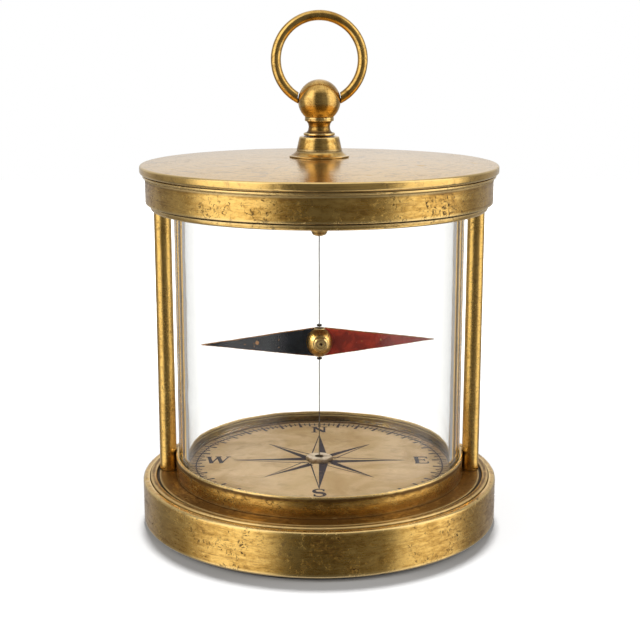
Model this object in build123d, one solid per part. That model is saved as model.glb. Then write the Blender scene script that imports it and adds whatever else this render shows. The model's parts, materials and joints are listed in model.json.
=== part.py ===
from build123d import *
import os

# Suspended-needle compass: a magnetic needle hangs on a taut thread inside a glass
# cylinder, between a turned brass base that holds the dial and a turned brass cap
# that carries a swivelling suspension bow. Millimetres, +Z up, origin at the centre
# of the underside of the felt pad.

# --- Fits -----------------------------------------------------------------------
SCREW_CLEARANCE = 0.05      # radial, fixed shank in its hole
SEAT_CLEARANCE = 0.10       # radial, one turned piece dropped into another
GLASS_CLEARANCE = 0.10      # radial, glass in its brass rebates
RUNNING_CLEARANCE = 0.05    # radial, turning shaft in its bore
MOVING_GAP = 0.25           # between faces that pass each other
POST_GAP = 0.10             # between a post and the dial bezel beside it

# --- Case: radii from the glass outwards ------------------------------------------
GLASS_RADIUS = 40.8
GLASS_WALL = 2.6
BEZEL_LIP = 0.75            # brass standing round the foot of the glass
POST_RADIUS = 2.45
POST_COVER = 0.55           # cap step past the outside of the posts
CAP_STEP = 1.35             # cap drum past its lower step
LIP_STEP = 0.65             # thin lip past the cap drum
LID_STEP = 1.45             # lid past the cap drum
DECK_MARGIN = 0.40          # deck past the outside of the posts
RIDGE_WIDTH = 1.70          # round ridge at the edge of the deck
RIDGE_GROOVE = 0.40         # groove between deck and ridge
SHOULDER_WIDTH = 1.95       # base drum outside the deck

# --- Case: heights from the floor upwards -----------------------------------------
FELT_THICKNESS = 1.0
BASE_HEIGHT = 12.8          # underside of the drum to the deck
POST_LENGTH = 77.2          # deck to cap
BEZEL_HEIGHT = 5.95
FLANGE_THICKNESS = 1.2      # inner flange of the bezel
DIAL_THICKNESS = 1.3
CARD_THICKNESS = 0.3
GASKET_THICKNESS = 0.5
GLASS_REBATE = 3.0          # depth of the cap's rebate for the glass
CAP_STEP_HEIGHT = 1.4
CAP_GROOVE_HEIGHT = 0.45
CAP_DRUM_HEIGHT = 6.75
LIP_GROOVE_HEIGHT = 0.5
LIP_HEIGHT = 0.6
LID_GROOVE_HEIGHT = 0.25
LID_RIM_HEIGHT = 2.4
LID_RISE = 1.75             # dome of the lid, rim to finial seat

# --- Walls and plates ---------------------------------------------------------------
DECK_THICKNESS = 2.5
BOTTOM_THICKNESS = 2.0
BOTTOM_LAP = 0.7            # bottom plate past the bore of the drum
LEDGE_HEIGHT = 2.0          # ledges inside the drum that carry deck and bottom plate
LEDGE_WIDTH = 2.35
DRUM_WALL = 2.3
WEB_THICKNESS = 2.2         # web across the inside of the cap ring
WEB_WIDTH = 4.8             # web inside the bore of its glass rebate
CAP_WALL = 1.75
BRIDGE_THICKNESS = 2.0
BRIDGE_MARGIN = 0.5         # bridge plate inside the nuts of the posts
LID_SHEET = 2.2
REGISTER_WIDTH = 1.45
REGISTER_DEPTH = 1.4
EDGE_ROUND = 0.3            # broken edges of turned brass

# --- Fasteners ----------------------------------------------------------------------
POST_SHANK_RADIUS = 1.6
POST_NUT_RADIUS = 2.3
POST_NUT_HEIGHT = 2.0
SHANK_PROUD = 0.4           # threaded end past its nut
SMALL_SCREW_RADIUS = 0.5
SMALL_HEAD_RADIUS = 0.85
SMALL_HEAD_HEIGHT = 0.9
PLATE_SCREW_RADIUS = 0.8
PLATE_HEAD_RADIUS = 1.6
PLATE_HEAD_HEIGHT = 1.0
FLANGE_SCREW_RADIUS = 0.6
FLANGE_HEAD_RADIUS = 1.2
SCREW_COUNT = 3
SLOT_WIDTH = 0.35
SLOT_DEPTH = 0.4

# --- Finial and bow -----------------------------------------------------------------
FOOT_RADIUS = 8.8
FOOT_EDGE = 0.45
FOOT_HEIGHT = 1.65
CUP_FOOT_RADIUS = 6.36
CUP_TOP_RADIUS = 5.5
CUP_HEIGHT = 4.0
SPIGOT_RADIUS = 4.0
SPIGOT_LENGTH = 5.2
BOSS_WALL = 2.4             # round the spigot, on the bridge plate
FINIAL_SHANK_RADIUS = 1.5
SHANK_NUT_RADIUS = 2.4
SHANK_NUT_HEIGHT = 1.6
NUT_POCKET_DEPTH = 2.7
LOWER_COLLAR_RADIUS = 4.4
LOWER_COLLAR_HEIGHT = 0.8
NECK_RADIUS = 2.95
NECK_END_RADIUS = 3.6
NECK_HEIGHT = 3.15
UPPER_COLLAR_RADIUS = 4.05
UPPER_COLLAR_HEIGHT = 1.2
BALL_RADIUS = 5.92
BOW_RADIUS = 11.95          # centre line of the wire
BOW_WIRE_RADIUS = 1.42
BOW_RISE = 11.2             # centre of the bow above the centre of the ball
PIVOT_RADIUS = 0.7
PIVOT_DEPTH = 3.9           # pivot pin inside the ball

# --- Suspension ---------------------------------------------------------------------
STEM_RADIUS = 1.4
STEM_HEAD_RADIUS = 3.0
STEM_HEAD_HEIGHT = 1.0
STEM_DROP = 11.9            # underside of the bridge plate to the end of the stem
STEM_NUT_RADIUS = 3.2
STEM_NUT_HEIGHT = 1.6
CHUCK_RADIUS = 2.37
CHUCK_HEIGHT = 4.2
CHUCK_NOSE = 1.5            # chuck below the end of the stem
CHUCK_MOUTH_RADIUS = 0.7
THREAD_RADIUS = 0.165
THREAD_GRIP = 1.8           # thread held inside the stem and inside the stud
STUD_RADIUS = 1.3
ANCHOR_NUT_RADIUS = 3.95
ANCHOR_NUT_HEIGHT = 1.3
STUD_RECESS = 0.5           # stud below the top of its nut
LOCK_NUT_RADIUS = 3.2
LOCK_NUT_HEIGHT = 1.8
SPACER_RADIUS = 6.0

# --- Needle -------------------------------------------------------------------------
NEEDLE_HEIGHT = 35.6        # hub centre above the card
NEEDLE_YAW = 5.8            # degrees, at rest
NEEDLE_REACH = 33.8
NEEDLE_HALF_HEIGHT = 4.23
NEEDLE_THICKNESS = 0.8
NEEDLE_TIP = 0.12           # half height left at the point
NEEDLE_ROOT = 1.6           # start of each arm, from the thread
HUB_RADIUS = 3.93
HUB_HALF_HEIGHT = 4.25
HUB_COLLAR_RADIUS = 1.25
HUB_COLLAR_REACH = 4.4
HUB_FLAT = 3.3              # flat for each clamp screw, from the axis
CLAMP_HEAD_RADIUS = 2.0
CLAMP_HEAD_HEIGHT = 0.9
CLAMP_SHANK_RADIUS = 1.0
CLAMP_STOP = 0.6            # end of the clamp screw, from the axis
CLAMP_DIMPLE_RADIUS = 0.45
STOP_BEAD_RADIUS = 0.75
STOP_BEAD_HEIGHT = 0.55

# --- Derived radii ------------------------------------------------------------------
glass_bore = GLASS_RADIUS - GLASS_WALL
rebate_radius = GLASS_RADIUS + GLASS_CLEARANCE
bezel_radius = rebate_radius + BEZEL_LIP
post_circle = bezel_radius + POST_GAP + POST_RADIUS
post_outside = post_circle + POST_RADIUS
step_radius = post_outside + POST_COVER
cap_radius = step_radius + CAP_STEP
lip_radius = cap_radius + LIP_STEP
lid_radius = cap_radius + LID_STEP
cap_cavity_radius = cap_radius - CAP_WALL
web_bore = rebate_radius - WEB_WIDTH
bridge_radius = post_circle - POST_NUT_RADIUS - BRIDGE_MARGIN
bridge_screw_circle = (web_bore + bridge_radius) / 2
deck_flat_radius = post_outside + DECK_MARGIN
ridge_inner = deck_flat_radius + RIDGE_GROOVE
deck_radius = ridge_inner + RIDGE_WIDTH
deck_seat_radius = deck_radius + SEAT_CLEARANCE
drum_radius = deck_seat_radius + SHOULDER_WIDTH
drum_bore = drum_radius - DRUM_WALL
ledge_bore = deck_seat_radius - LEDGE_WIDTH
ledge_screw_circle = (ledge_bore + drum_bore) / 2
bottom_radius = drum_bore + BOTTOM_LAP
dial_radius = rebate_radius - SEAT_CLEARANCE
bezel_screw_circle = (web_bore + dial_radius) / 2
spigot_bore = SPIGOT_RADIUS + SCREW_CLEARANCE
boss_radius = spigot_bore + BOSS_WALL
hub_bore = THREAD_RADIUS + RUNNING_CLEARANCE

# --- Derived heights ----------------------------------------------------------------
drum_bottom = FELT_THICKNESS
deck_top = drum_bottom + BASE_HEIGHT
deck_bottom = deck_top - DECK_THICKNESS
bottom_top = drum_bottom + BOTTOM_THICKNESS
dial_bottom = deck_top + FLANGE_THICKNESS
card_bottom = dial_bottom + DIAL_THICKNESS
card_top = card_bottom + CARD_THICKNESS
glass_bottom = card_top + GASKET_THICKNESS
bezel_top = deck_top + BEZEL_HEIGHT
cap_bottom = deck_top + POST_LENGTH
web_bottom = cap_bottom + GLASS_REBATE
web_top = web_bottom + WEB_THICKNESS
glass_top = web_bottom - GASKET_THICKNESS
cap_drum_bottom = cap_bottom + CAP_STEP_HEIGHT + CAP_GROOVE_HEIGHT
cap_drum_top = cap_drum_bottom + CAP_DRUM_HEIGHT
lip_bottom = cap_drum_top + LIP_GROOVE_HEIGHT
cap_top = lip_bottom + LIP_HEIGHT
lid_rim_bottom = cap_top + LID_GROOVE_HEIGHT
lid_rim_top = lid_rim_bottom + LID_RIM_HEIGHT
finial_seat = lid_rim_top + LID_RISE
lid_ceiling = finial_seat - LID_SHEET
bridge_top = web_top + BRIDGE_THICKNESS
foot_top = finial_seat + FOOT_HEIGHT
cup_top = foot_top + CUP_HEIGHT
spigot_bottom = finial_seat - SPIGOT_LENGTH
nut_pocket_top = spigot_bottom + NUT_POCKET_DEPTH
finial_bottom = cup_top + MOVING_GAP
neck_bottom = finial_bottom + LOWER_COLLAR_HEIGHT
neck_top = neck_bottom + NECK_HEIGHT
collar_top = neck_top + UPPER_COLLAR_HEIGHT
ball_centre = collar_top + (BALL_RADIUS ** 2 - UPPER_COLLAR_RADIUS ** 2) ** 0.5
bow_centre = ball_centre + BOW_RISE
stem_end = web_top - STEM_DROP
hub_centre = card_top + NEEDLE_HEIGHT
anchor_nut_top = card_top + ANCHOR_NUT_HEIGHT
stud_top = anchor_nut_top - STUD_RECESS
lock_nut_bottom = deck_bottom - LOCK_NUT_HEIGHT

ON_BASE = (Align.CENTER, Align.CENTER, Align.MIN)


def turned(*outline):
    """Solid of revolution about Z from a closed outline of (radius, height) edges."""
    profile = Curve() + list(outline)
    return revolve(Plane.XZ * make_face(profile.edges()), Axis.Z)


def disc(radius, bottom, top):
    """Round plate on the Z axis."""
    return Pos(0, 0, bottom) * Cylinder(radius, top - bottom, align=ON_BASE)


def tube(outer, inner, bottom, top):
    """Plain ring on the Z axis."""
    return disc(outer, bottom, top) - disc(inner, bottom, top)


def on_circle(piece, radius, count, start_angle=0):
    """Copies of a piece, turned about Z and set out on a circle."""
    return [place * piece for place in PolarLocations(radius, count, start_angle)]


def group(pieces):
    """Separate solids kept together in one node."""
    return Compound([piece.solid() for piece in pieces])


def at_radius(edges, radius, height):
    """Circular edges about Z of one radius at one height."""
    def matches(edge):
        middle = edge.center()
        here = (edge @ 0).X ** 2 + (edge @ 0).Y ** 2
        return abs(here ** 0.5 - radius) < 0.01 and abs(middle.Z - height) < 0.01
    return edges.filter_by(GeomType.CIRCLE).filter_by(matches)


def screw(head_radius, head_height, shank_radius, length):
    """Slotted screw with its head above z = 0 and its shank below."""
    head = disc(head_radius, 0, head_height)
    head = chamfer(at_radius(head.edges(), head_radius, head_height), head_height / 4)
    slot = Pos(0, 0, head_height) * Box(head_radius * 3, SLOT_WIDTH, SLOT_DEPTH * 2)
    return head + disc(shank_radius, -length, 0) - slot


def countersunk_screw(head_radius, shank_radius, length):
    """Countersunk screw with its flat face at z = 0 and its shank below."""
    depth = head_radius - shank_radius
    head = Pos(0, 0, -depth) * Cone(shank_radius, head_radius, depth, align=ON_BASE)
    slot = Box(head_radius * 3, SLOT_WIDTH, SLOT_DEPTH)
    return head + disc(shank_radius, -length, -depth) - slot


def hex_nut(corner_radius, height, bore_radius):
    """Hexagonal nut standing on z = 0, with its corners turned off."""
    blank = extrude(RegularPolygon(corner_radius, 6), height)
    turning = corner_radius * 0.12
    cone = disc(corner_radius, 0, height)
    cone = chamfer(at_radius(cone.edges(), corner_radius, height), turning / 2, turning)
    return (blank & cone) - disc(bore_radius, 0, height)


def round_nut(radius, height, bore_radius):
    """Round nut standing on z = 0, slotted across its top face."""
    nut = disc(radius, 0, height) - disc(bore_radius, 0, height)
    slot = Pos(0, 0, height) * Box(radius * 3, SLOT_WIDTH * 2, SLOT_DEPTH * 2)
    return nut - slot


# --- Base -----------------------------------------------------------------------------

def felt_pad():
    """Felt disc glued under the base, just inside the drum."""
    return disc(bottom_radius - EDGE_ROUND, 0, drum_bottom)


def bottom_plate():
    """Closing plate let into the underside of the drum."""
    plate = disc(bottom_radius, drum_bottom, bottom_top)
    depth = SMALL_HEAD_RADIUS - SMALL_SCREW_RADIUS
    hole = disc(SMALL_SCREW_RADIUS + SCREW_CLEARANCE, 0, BOTTOM_THICKNESS)
    sink_radius = SMALL_HEAD_RADIUS + SCREW_CLEARANCE
    hole += Cone(sink_radius, sink_radius - depth, depth, align=ON_BASE)
    for sinking in on_circle(hole, ledge_screw_circle, SCREW_COUNT, 30):
        plate -= Pos(0, 0, drum_bottom) * sinking
    return plate


def bottom_screws():
    """Screws that hold the bottom plate up to the lower ledge of the drum."""
    length = BOTTOM_THICKNESS + LEDGE_HEIGHT - SEAT_CLEARANCE
    one = Rot(180, 0, 0) * countersunk_screw(SMALL_HEAD_RADIUS, SMALL_SCREW_RADIUS, length)
    placed = on_circle(one, ledge_screw_circle, SCREW_COUNT, 30)
    return group([Pos(0, 0, drum_bottom) * piece for piece in placed])


def base_drum():
    """Turned drum: rounded shoulder, two inner ledges, open top and bottom."""
    top = deck_top - SEAT_CLEARANCE
    shoulder = SHOULDER_WIDTH - EDGE_ROUND / 2
    lower_ledge_top = bottom_top + LEDGE_HEIGHT
    upper_ledge_bottom = deck_bottom - LEDGE_HEIGHT
    plate_seat = bottom_radius + SEAT_CLEARANCE
    foot = Polyline(
        (plate_seat, drum_bottom),
        (drum_radius - EDGE_ROUND * 2, drum_bottom),
        (drum_radius, drum_bottom + EDGE_ROUND * 2),
        (drum_radius, top - shoulder),
    )
    rounding = RadiusArc((drum_radius, top - shoulder), (drum_radius - shoulder, top), -shoulder)
    inside = Polyline(
        (drum_radius - shoulder, top),
        (deck_seat_radius, top),
        (deck_seat_radius, deck_bottom),
        (ledge_bore, deck_bottom),
        (ledge_bore, upper_ledge_bottom),
        (drum_bore, upper_ledge_bottom),
        (drum_bore, lower_ledge_top),
        (ledge_bore, lower_ledge_top),
        (ledge_bore, bottom_top),
        (plate_seat, bottom_top),
        (plate_seat, drum_bottom),
    )
    drum = turned(foot, rounding, inside)
    for angle, height in ((30, bottom_top), (90, upper_ledge_bottom)):
        drill = disc(SMALL_SCREW_RADIUS + SCREW_CLEARANCE, height, height + LEDGE_HEIGHT)
        for cut in on_circle(drill, ledge_screw_circle, SCREW_COUNT, angle):
            drum -= cut
    return drum


def base_deck():
    """Turned deck with a round ridge near its edge, let into the top of the drum."""
    ridge_middle = ridge_inner + RIDGE_WIDTH / 2
    ridge_foot = deck_top - RIDGE_GROOVE
    ridge_top = deck_top + RIDGE_GROOVE
    low = Polyline(
        (0, deck_bottom),
        (deck_radius, deck_bottom),
        (deck_radius, ridge_foot),
    )
    ridge = ThreePointArc(
        (deck_radius, ridge_foot),
        (ridge_middle, ridge_top),
        (ridge_inner, ridge_foot),
    )
    flat = Polyline(
        (ridge_inner, ridge_foot),
        (deck_flat_radius, ridge_foot),
        (deck_flat_radius, deck_top),
        (0, deck_top),
        (0, deck_bottom),
    )
    deck = turned(low, ridge, flat)
    deck -= disc(STUD_RADIUS + SCREW_CLEARANCE, deck_bottom, deck_top)
    post_hole = disc(POST_SHANK_RADIUS + SCREW_CLEARANCE, deck_bottom, deck_top)
    drum_hole = disc(SMALL_SCREW_RADIUS + SCREW_CLEARANCE, deck_bottom, ridge_foot - EDGE_ROUND)
    bezel_hole = disc(FLANGE_SCREW_RADIUS + SCREW_CLEARANCE, deck_bottom, deck_top)
    cuts = on_circle(post_hole, post_circle, 2)
    cuts += on_circle(drum_hole, ledge_screw_circle, SCREW_COUNT, 90)
    cuts += on_circle(bezel_hole, bezel_screw_circle, SCREW_COUNT, 30)
    for cut in cuts:
        deck -= cut
    return deck


def deck_screws():
    """Screws driven up through the drum's upper ledge into the deck."""
    reach = LEDGE_HEIGHT + DECK_THICKNESS - RIDGE_GROOVE - EDGE_ROUND - SEAT_CLEARANCE
    one = screw(SMALL_HEAD_RADIUS, SMALL_HEAD_HEIGHT, SMALL_SCREW_RADIUS, reach)
    height = deck_bottom - LEDGE_HEIGHT
    placed = on_circle(Rot(180, 0, 0) * one, ledge_screw_circle, SCREW_COUNT, 90)
    return group([Pos(0, 0, height) * piece for piece in placed])


# --- Posts ----------------------------------------------------------------------------

def post(side):
    """Round post with a threaded shank at each end, side = -1 left or +1 right."""
    lower = deck_bottom - POST_NUT_HEIGHT - SHANK_PROUD
    upper = web_top + POST_NUT_HEIGHT + SHANK_PROUD
    body = disc(POST_RADIUS, deck_top, cap_bottom)
    body = chamfer(body.edges().filter_by(GeomType.CIRCLE), EDGE_ROUND / 2)
    shank = disc(POST_SHANK_RADIUS, lower, upper)
    return Pos(side * post_circle, 0, 0) * (body + shank)


def left_post():
    """Post on the -X side."""
    return post(-1)


def right_post():
    """Post on the +X side."""
    return post(1)


def post_nuts(height, flip):
    """Pair of round nuts on the ends of the posts."""
    one = round_nut(POST_NUT_RADIUS, POST_NUT_HEIGHT, POST_SHANK_RADIUS + SCREW_CLEARANCE)
    one = Rot(180, 0, 0) * one if flip else one
    return group([Pos(0, 0, height) * piece for piece in on_circle(one, post_circle, 2)])


def lower_post_nuts():
    """Nuts under the deck."""
    return post_nuts(deck_bottom, True)


def upper_post_nuts():
    """Nuts on top of the cap's web."""
    return post_nuts(web_top, False)


# --- Dial -----------------------------------------------------------------------------

def dial_bezel():
    """Ring that centres the dial and the glass, with an inner flange on the deck."""
    outline = Polyline(
        (web_bore, deck_top),
        (bezel_radius, deck_top),
        (bezel_radius, bezel_top - EDGE_ROUND),
        (bezel_radius - EDGE_ROUND, bezel_top),
        (rebate_radius + EDGE_ROUND / 2, bezel_top),
        (rebate_radius, bezel_top - EDGE_ROUND / 2),
        (rebate_radius, dial_bottom),
        (web_bore, dial_bottom),
        (web_bore, deck_top),
    )
    ring = turned(outline)
    drill = disc(FLANGE_SCREW_RADIUS + SCREW_CLEARANCE, deck_top, dial_bottom - EDGE_ROUND)
    for cut in on_circle(drill, bezel_screw_circle, SCREW_COUNT, 30):
        ring -= cut
    return ring


def bezel_screws():
    """Screws driven up through the deck into the bezel's flange."""
    reach = DECK_THICKNESS + FLANGE_THICKNESS - EDGE_ROUND - SEAT_CLEARANCE
    one = screw(FLANGE_HEAD_RADIUS, SMALL_HEAD_HEIGHT, FLANGE_SCREW_RADIUS, reach)
    placed = on_circle(Rot(180, 0, 0) * one, bezel_screw_circle, SCREW_COUNT, 30)
    return group([Pos(0, 0, deck_bottom) * piece for piece in placed])


def dial_plate():
    """Brass plate that backs the card."""
    plate = disc(dial_radius, dial_bottom, card_bottom)
    return plate - disc(STUD_RADIUS + SCREW_CLEARANCE, dial_bottom, card_bottom)


def dial_spacer():
    """Washer between deck and dial plate, round the anchor stud."""
    return tube(SPACER_RADIUS, STUD_RADIUS + SCREW_CLEARANCE, deck_top, dial_bottom)


def compass_card():
    """Printed paper card."""
    card = disc(dial_radius, card_bottom, card_top)
    return card - disc(STUD_RADIUS + SCREW_CLEARANCE, card_bottom, card_top)


# --- Glass ----------------------------------------------------------------------------

def glass_gasket(bottom):
    """Flat ring between an end of the glass and its seat."""
    return tube(GLASS_RADIUS, glass_bore, bottom, bottom + GASKET_THICKNESS)


def lower_gasket():
    """Ring between the card and the glass."""
    return glass_gasket(card_top)


def upper_gasket():
    """Ring between the glass and the cap."""
    return glass_gasket(glass_top)


def glass_cylinder():
    """Clear glass cylinder with ground ends."""
    glass = tube(GLASS_RADIUS, glass_bore, glass_bottom, glass_top)
    return chamfer(glass.edges().filter_by(GeomType.CIRCLE), EDGE_ROUND / 2)


# --- Cap ------------------------------------------------------------------------------

def cap_ring():
    """Turned cap: stepped foot over the glass, drum, thin lip, inner web."""
    step_top = cap_bottom + CAP_STEP_HEIGHT
    groove_radius = step_radius - CAP_GROOVE_HEIGHT
    lip_groove_radius = cap_radius - LIP_GROOVE_HEIGHT
    step_round = CAP_STEP_HEIGHT / 2
    step_start = (step_radius - step_round, cap_bottom)
    step_end = (step_radius, cap_bottom + step_round)
    foot = Polyline((rebate_radius, web_bottom), (rebate_radius, cap_bottom), step_start)
    ovolo = RadiusArc(step_start, step_end, -step_round)
    outside = Polyline(
        step_end,
        (step_radius, step_top),
        (groove_radius, step_top),
        (groove_radius, cap_drum_bottom),
        (cap_radius - EDGE_ROUND, cap_drum_bottom),
        (cap_radius, cap_drum_bottom + EDGE_ROUND),
        (cap_radius, cap_drum_top - EDGE_ROUND / 2),
        (cap_radius - EDGE_ROUND / 2, cap_drum_top),
        (lip_groove_radius, cap_drum_top),
        (lip_groove_radius, lip_bottom),
    )
    lip = ThreePointArc(
        (lip_radius - LIP_HEIGHT / 2, lip_bottom),
        (lip_radius, lip_bottom + LIP_HEIGHT / 2),
        (lip_radius - LIP_HEIGHT / 2, cap_top),
    )
    under_lip = Line((lip_groove_radius, lip_bottom), (lip_radius - LIP_HEIGHT / 2, lip_bottom))
    inside = Polyline(
        (lip_radius - LIP_HEIGHT / 2, cap_top),
        (cap_cavity_radius, cap_top),
        (cap_cavity_radius, web_top),
        (web_bore, web_top),
        (web_bore, web_bottom),
        (rebate_radius, web_bottom),
    )
    ring = turned(foot, ovolo, outside, under_lip, lip, inside)
    post_hole = disc(POST_SHANK_RADIUS + SCREW_CLEARANCE, cap_bottom, web_top)
    drill = disc(PLATE_SCREW_RADIUS + SCREW_CLEARANCE, web_bottom, web_top)
    cuts = on_circle(post_hole, post_circle, 2)
    cuts += on_circle(drill, bridge_screw_circle, SCREW_COUNT, 30)
    for cut in cuts:
        ring -= cut
    return ring


def bridge_plate():
    """Plate across the cap that carries the suspension and takes the finial's spigot."""
    plate = disc(bridge_radius, web_top, bridge_top)
    plate += disc(boss_radius, bridge_top, lid_ceiling - SEAT_CLEARANCE)
    plate -= disc(spigot_bore, bridge_top, lid_ceiling)
    plate -= disc(STEM_RADIUS + SCREW_CLEARANCE, web_top, bridge_top)
    hole = disc(PLATE_SCREW_RADIUS + SCREW_CLEARANCE, web_top, bridge_top)
    for cut in on_circle(hole, bridge_screw_circle, SCREW_COUNT, 30):
        plate -= cut
    return plate


def bridge_screws():
    """Screws that hold the bridge plate down on the cap's web."""
    reach = BRIDGE_THICKNESS + WEB_THICKNESS - SEAT_CLEARANCE
    one = screw(PLATE_HEAD_RADIUS, PLATE_HEAD_HEIGHT, PLATE_SCREW_RADIUS, reach)
    placed = on_circle(one, bridge_screw_circle, SCREW_COUNT, 30)
    return group([Pos(0, 0, bridge_top) * piece for piece in placed])


def lid():
    """Domed lid with a full-round rim and a register ring that drops into the cap."""
    rim_round = LID_RIM_HEIGHT / 2
    rim_inside = lid_radius - rim_round
    seat_radius = FOOT_RADIUS + EDGE_ROUND
    middle = (seat_radius + rim_inside) / 2
    share = (middle - seat_radius) / (rim_inside - seat_radius)
    crown = ThreePointArc(
        (seat_radius, finial_seat),
        (middle, finial_seat - LID_RISE * share ** 2),
        (rim_inside, lid_rim_top),
    )
    rim = ThreePointArc(
        (rim_inside, lid_rim_top),
        (lid_radius, lid_rim_bottom + rim_round),
        (rim_inside, lid_rim_bottom),
    )
    land_radius = cap_radius - LIP_GROOVE_HEIGHT
    register_outer = cap_cavity_radius - SEAT_CLEARANCE
    register_inner = register_outer - REGISTER_WIDTH
    register_bottom = cap_top - REGISTER_DEPTH
    under = Polyline(
        (rim_inside, lid_rim_bottom),
        (land_radius, lid_rim_bottom),
        (land_radius, cap_top),
        (register_outer, cap_top),
        (register_outer, register_bottom),
        (register_inner, register_bottom),
        (register_inner, lid_rim_bottom),
        (boss_radius + BOSS_WALL, lid_ceiling),
        (spigot_bore, lid_ceiling),
        (spigot_bore, finial_seat),
        (seat_radius, finial_seat),
    )
    return turned(crown, rim, under)


# --- Finial and bow -------------------------------------------------------------------

def finial_socket():
    """Flared cup on the lid, with a threaded spigot and a pocket for the shank nut."""
    foot_edge_top = finial_seat + FOOT_EDGE
    cup_foot = foot_top + EDGE_ROUND
    waist = CUP_FOOT_RADIUS - EDGE_ROUND
    bore = FINIAL_SHANK_RADIUS + RUNNING_CLEARANCE
    pocket = SHANK_NUT_RADIUS + MOVING_GAP
    low = Polyline(
        (SPIGOT_RADIUS, spigot_bottom),
        (SPIGOT_RADIUS, finial_seat),
        (FOOT_RADIUS, finial_seat),
        (FOOT_RADIUS, foot_edge_top),
    )
    sweep = RadiusArc(
        (FOOT_RADIUS, foot_edge_top),
        (CUP_FOOT_RADIUS, foot_top),
        FOOT_RADIUS - CUP_FOOT_RADIUS,
    )
    cup = Polyline(
        (CUP_FOOT_RADIUS, foot_top),
        (waist, foot_top),
        (waist, cup_foot),
        (CUP_FOOT_RADIUS, cup_foot),
        (CUP_TOP_RADIUS, cup_top - EDGE_ROUND),
        (CUP_TOP_RADIUS - EDGE_ROUND, cup_top),
        (bore, cup_top),
        (bore, nut_pocket_top),
        (pocket, nut_pocket_top),
        (pocket, spigot_bottom),
        (SPIGOT_RADIUS, spigot_bottom),
    )
    return turned(low, sweep, cup)


def swivel_finial():
    """Collars, waisted neck and cross-bored ball, on a shank that turns in the socket."""
    nut_bottom = nut_pocket_top - MOVING_GAP - SHANK_NUT_HEIGHT
    lower = Polyline(
        (0, nut_bottom),
        (FINIAL_SHANK_RADIUS, nut_bottom),
        (FINIAL_SHANK_RADIUS, finial_bottom),
        (LOWER_COLLAR_RADIUS - EDGE_ROUND, finial_bottom),
    )
    lower_bead = ThreePointArc(
        (LOWER_COLLAR_RADIUS - EDGE_ROUND, finial_bottom),
        (LOWER_COLLAR_RADIUS, finial_bottom + LOWER_COLLAR_HEIGHT / 2),
        (LOWER_COLLAR_RADIUS - EDGE_ROUND, neck_bottom),
    )
    neck_step = Line((LOWER_COLLAR_RADIUS - EDGE_ROUND, neck_bottom), (NECK_END_RADIUS, neck_bottom))
    neck = ThreePointArc(
        (NECK_END_RADIUS, neck_bottom),
        (NECK_RADIUS, (neck_bottom + neck_top) / 2),
        (NECK_END_RADIUS, neck_top),
    )
    upper_step = Line((NECK_END_RADIUS, neck_top), (UPPER_COLLAR_RADIUS - EDGE_ROUND, neck_top))
    upper_bead = ThreePointArc(
        (UPPER_COLLAR_RADIUS - EDGE_ROUND, neck_top),
        (UPPER_COLLAR_RADIUS, neck_top + UPPER_COLLAR_HEIGHT / 2),
        (UPPER_COLLAR_RADIUS - EDGE_ROUND, collar_top),
    )
    close = Polyline(
        (UPPER_COLLAR_RADIUS - EDGE_ROUND, collar_top),
        (0, collar_top),
        (0, nut_bottom),
    )
    finial = turned(lower, lower_bead, neck_step, neck, upper_step, upper_bead, close)
    finial += Pos(0, 0, ball_centre) * Sphere(BALL_RADIUS)
    bore = Cylinder(PIVOT_RADIUS + RUNNING_CLEARANCE, BALL_RADIUS * 3)
    return finial - Pos(0, 0, ball_centre) * (Rot(0, 90, 0) * bore)


def shank_nut():
    """Nut that keeps the finial's shank in its socket and turns with it."""
    nut = hex_nut(SHANK_NUT_RADIUS, SHANK_NUT_HEIGHT, FINIAL_SHANK_RADIUS + SCREW_CLEARANCE)
    return Pos(0, 0, nut_pocket_top - MOVING_GAP - SHANK_NUT_HEIGHT) * nut


def bow_ring():
    """Round wire bow whose ends carry pivot pins that run in the bore of the ball."""
    wire = Pos(0, 0, bow_centre) * (Rot(90, 0, 0) * Torus(BOW_RADIUS, BOW_WIRE_RADIUS))
    trim_radius = BALL_RADIUS + MOVING_GAP
    bow = wire - Pos(0, 0, ball_centre) * Sphere(trim_radius)
    start = BALL_RADIUS - PIVOT_DEPTH
    pin = disc(PIVOT_RADIUS, start, trim_radius + EDGE_ROUND)
    for side in (-1, 1):
        bow += Pos(0, 0, ball_centre) * (Rot(0, side * 90, 0) * pin)
    return bow


# --- Suspension -----------------------------------------------------------------------

def suspension_stem():
    """Headed stem through the bridge plate, bored at its lower end for the thread."""
    stem = disc(STEM_HEAD_RADIUS, bridge_top, bridge_top + STEM_HEAD_HEIGHT)
    stem += disc(STEM_RADIUS, stem_end, bridge_top)
    return stem - disc(THREAD_RADIUS + SCREW_CLEARANCE, stem_end, stem_end + THREAD_GRIP)


def stem_nut():
    """Nut under the bridge plate."""
    nut = hex_nut(STEM_NUT_RADIUS, STEM_NUT_HEIGHT, STEM_RADIUS + SCREW_CLEARANCE)
    return Pos(0, 0, web_top) * (Rot(180, 0, 0) * nut)


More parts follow.
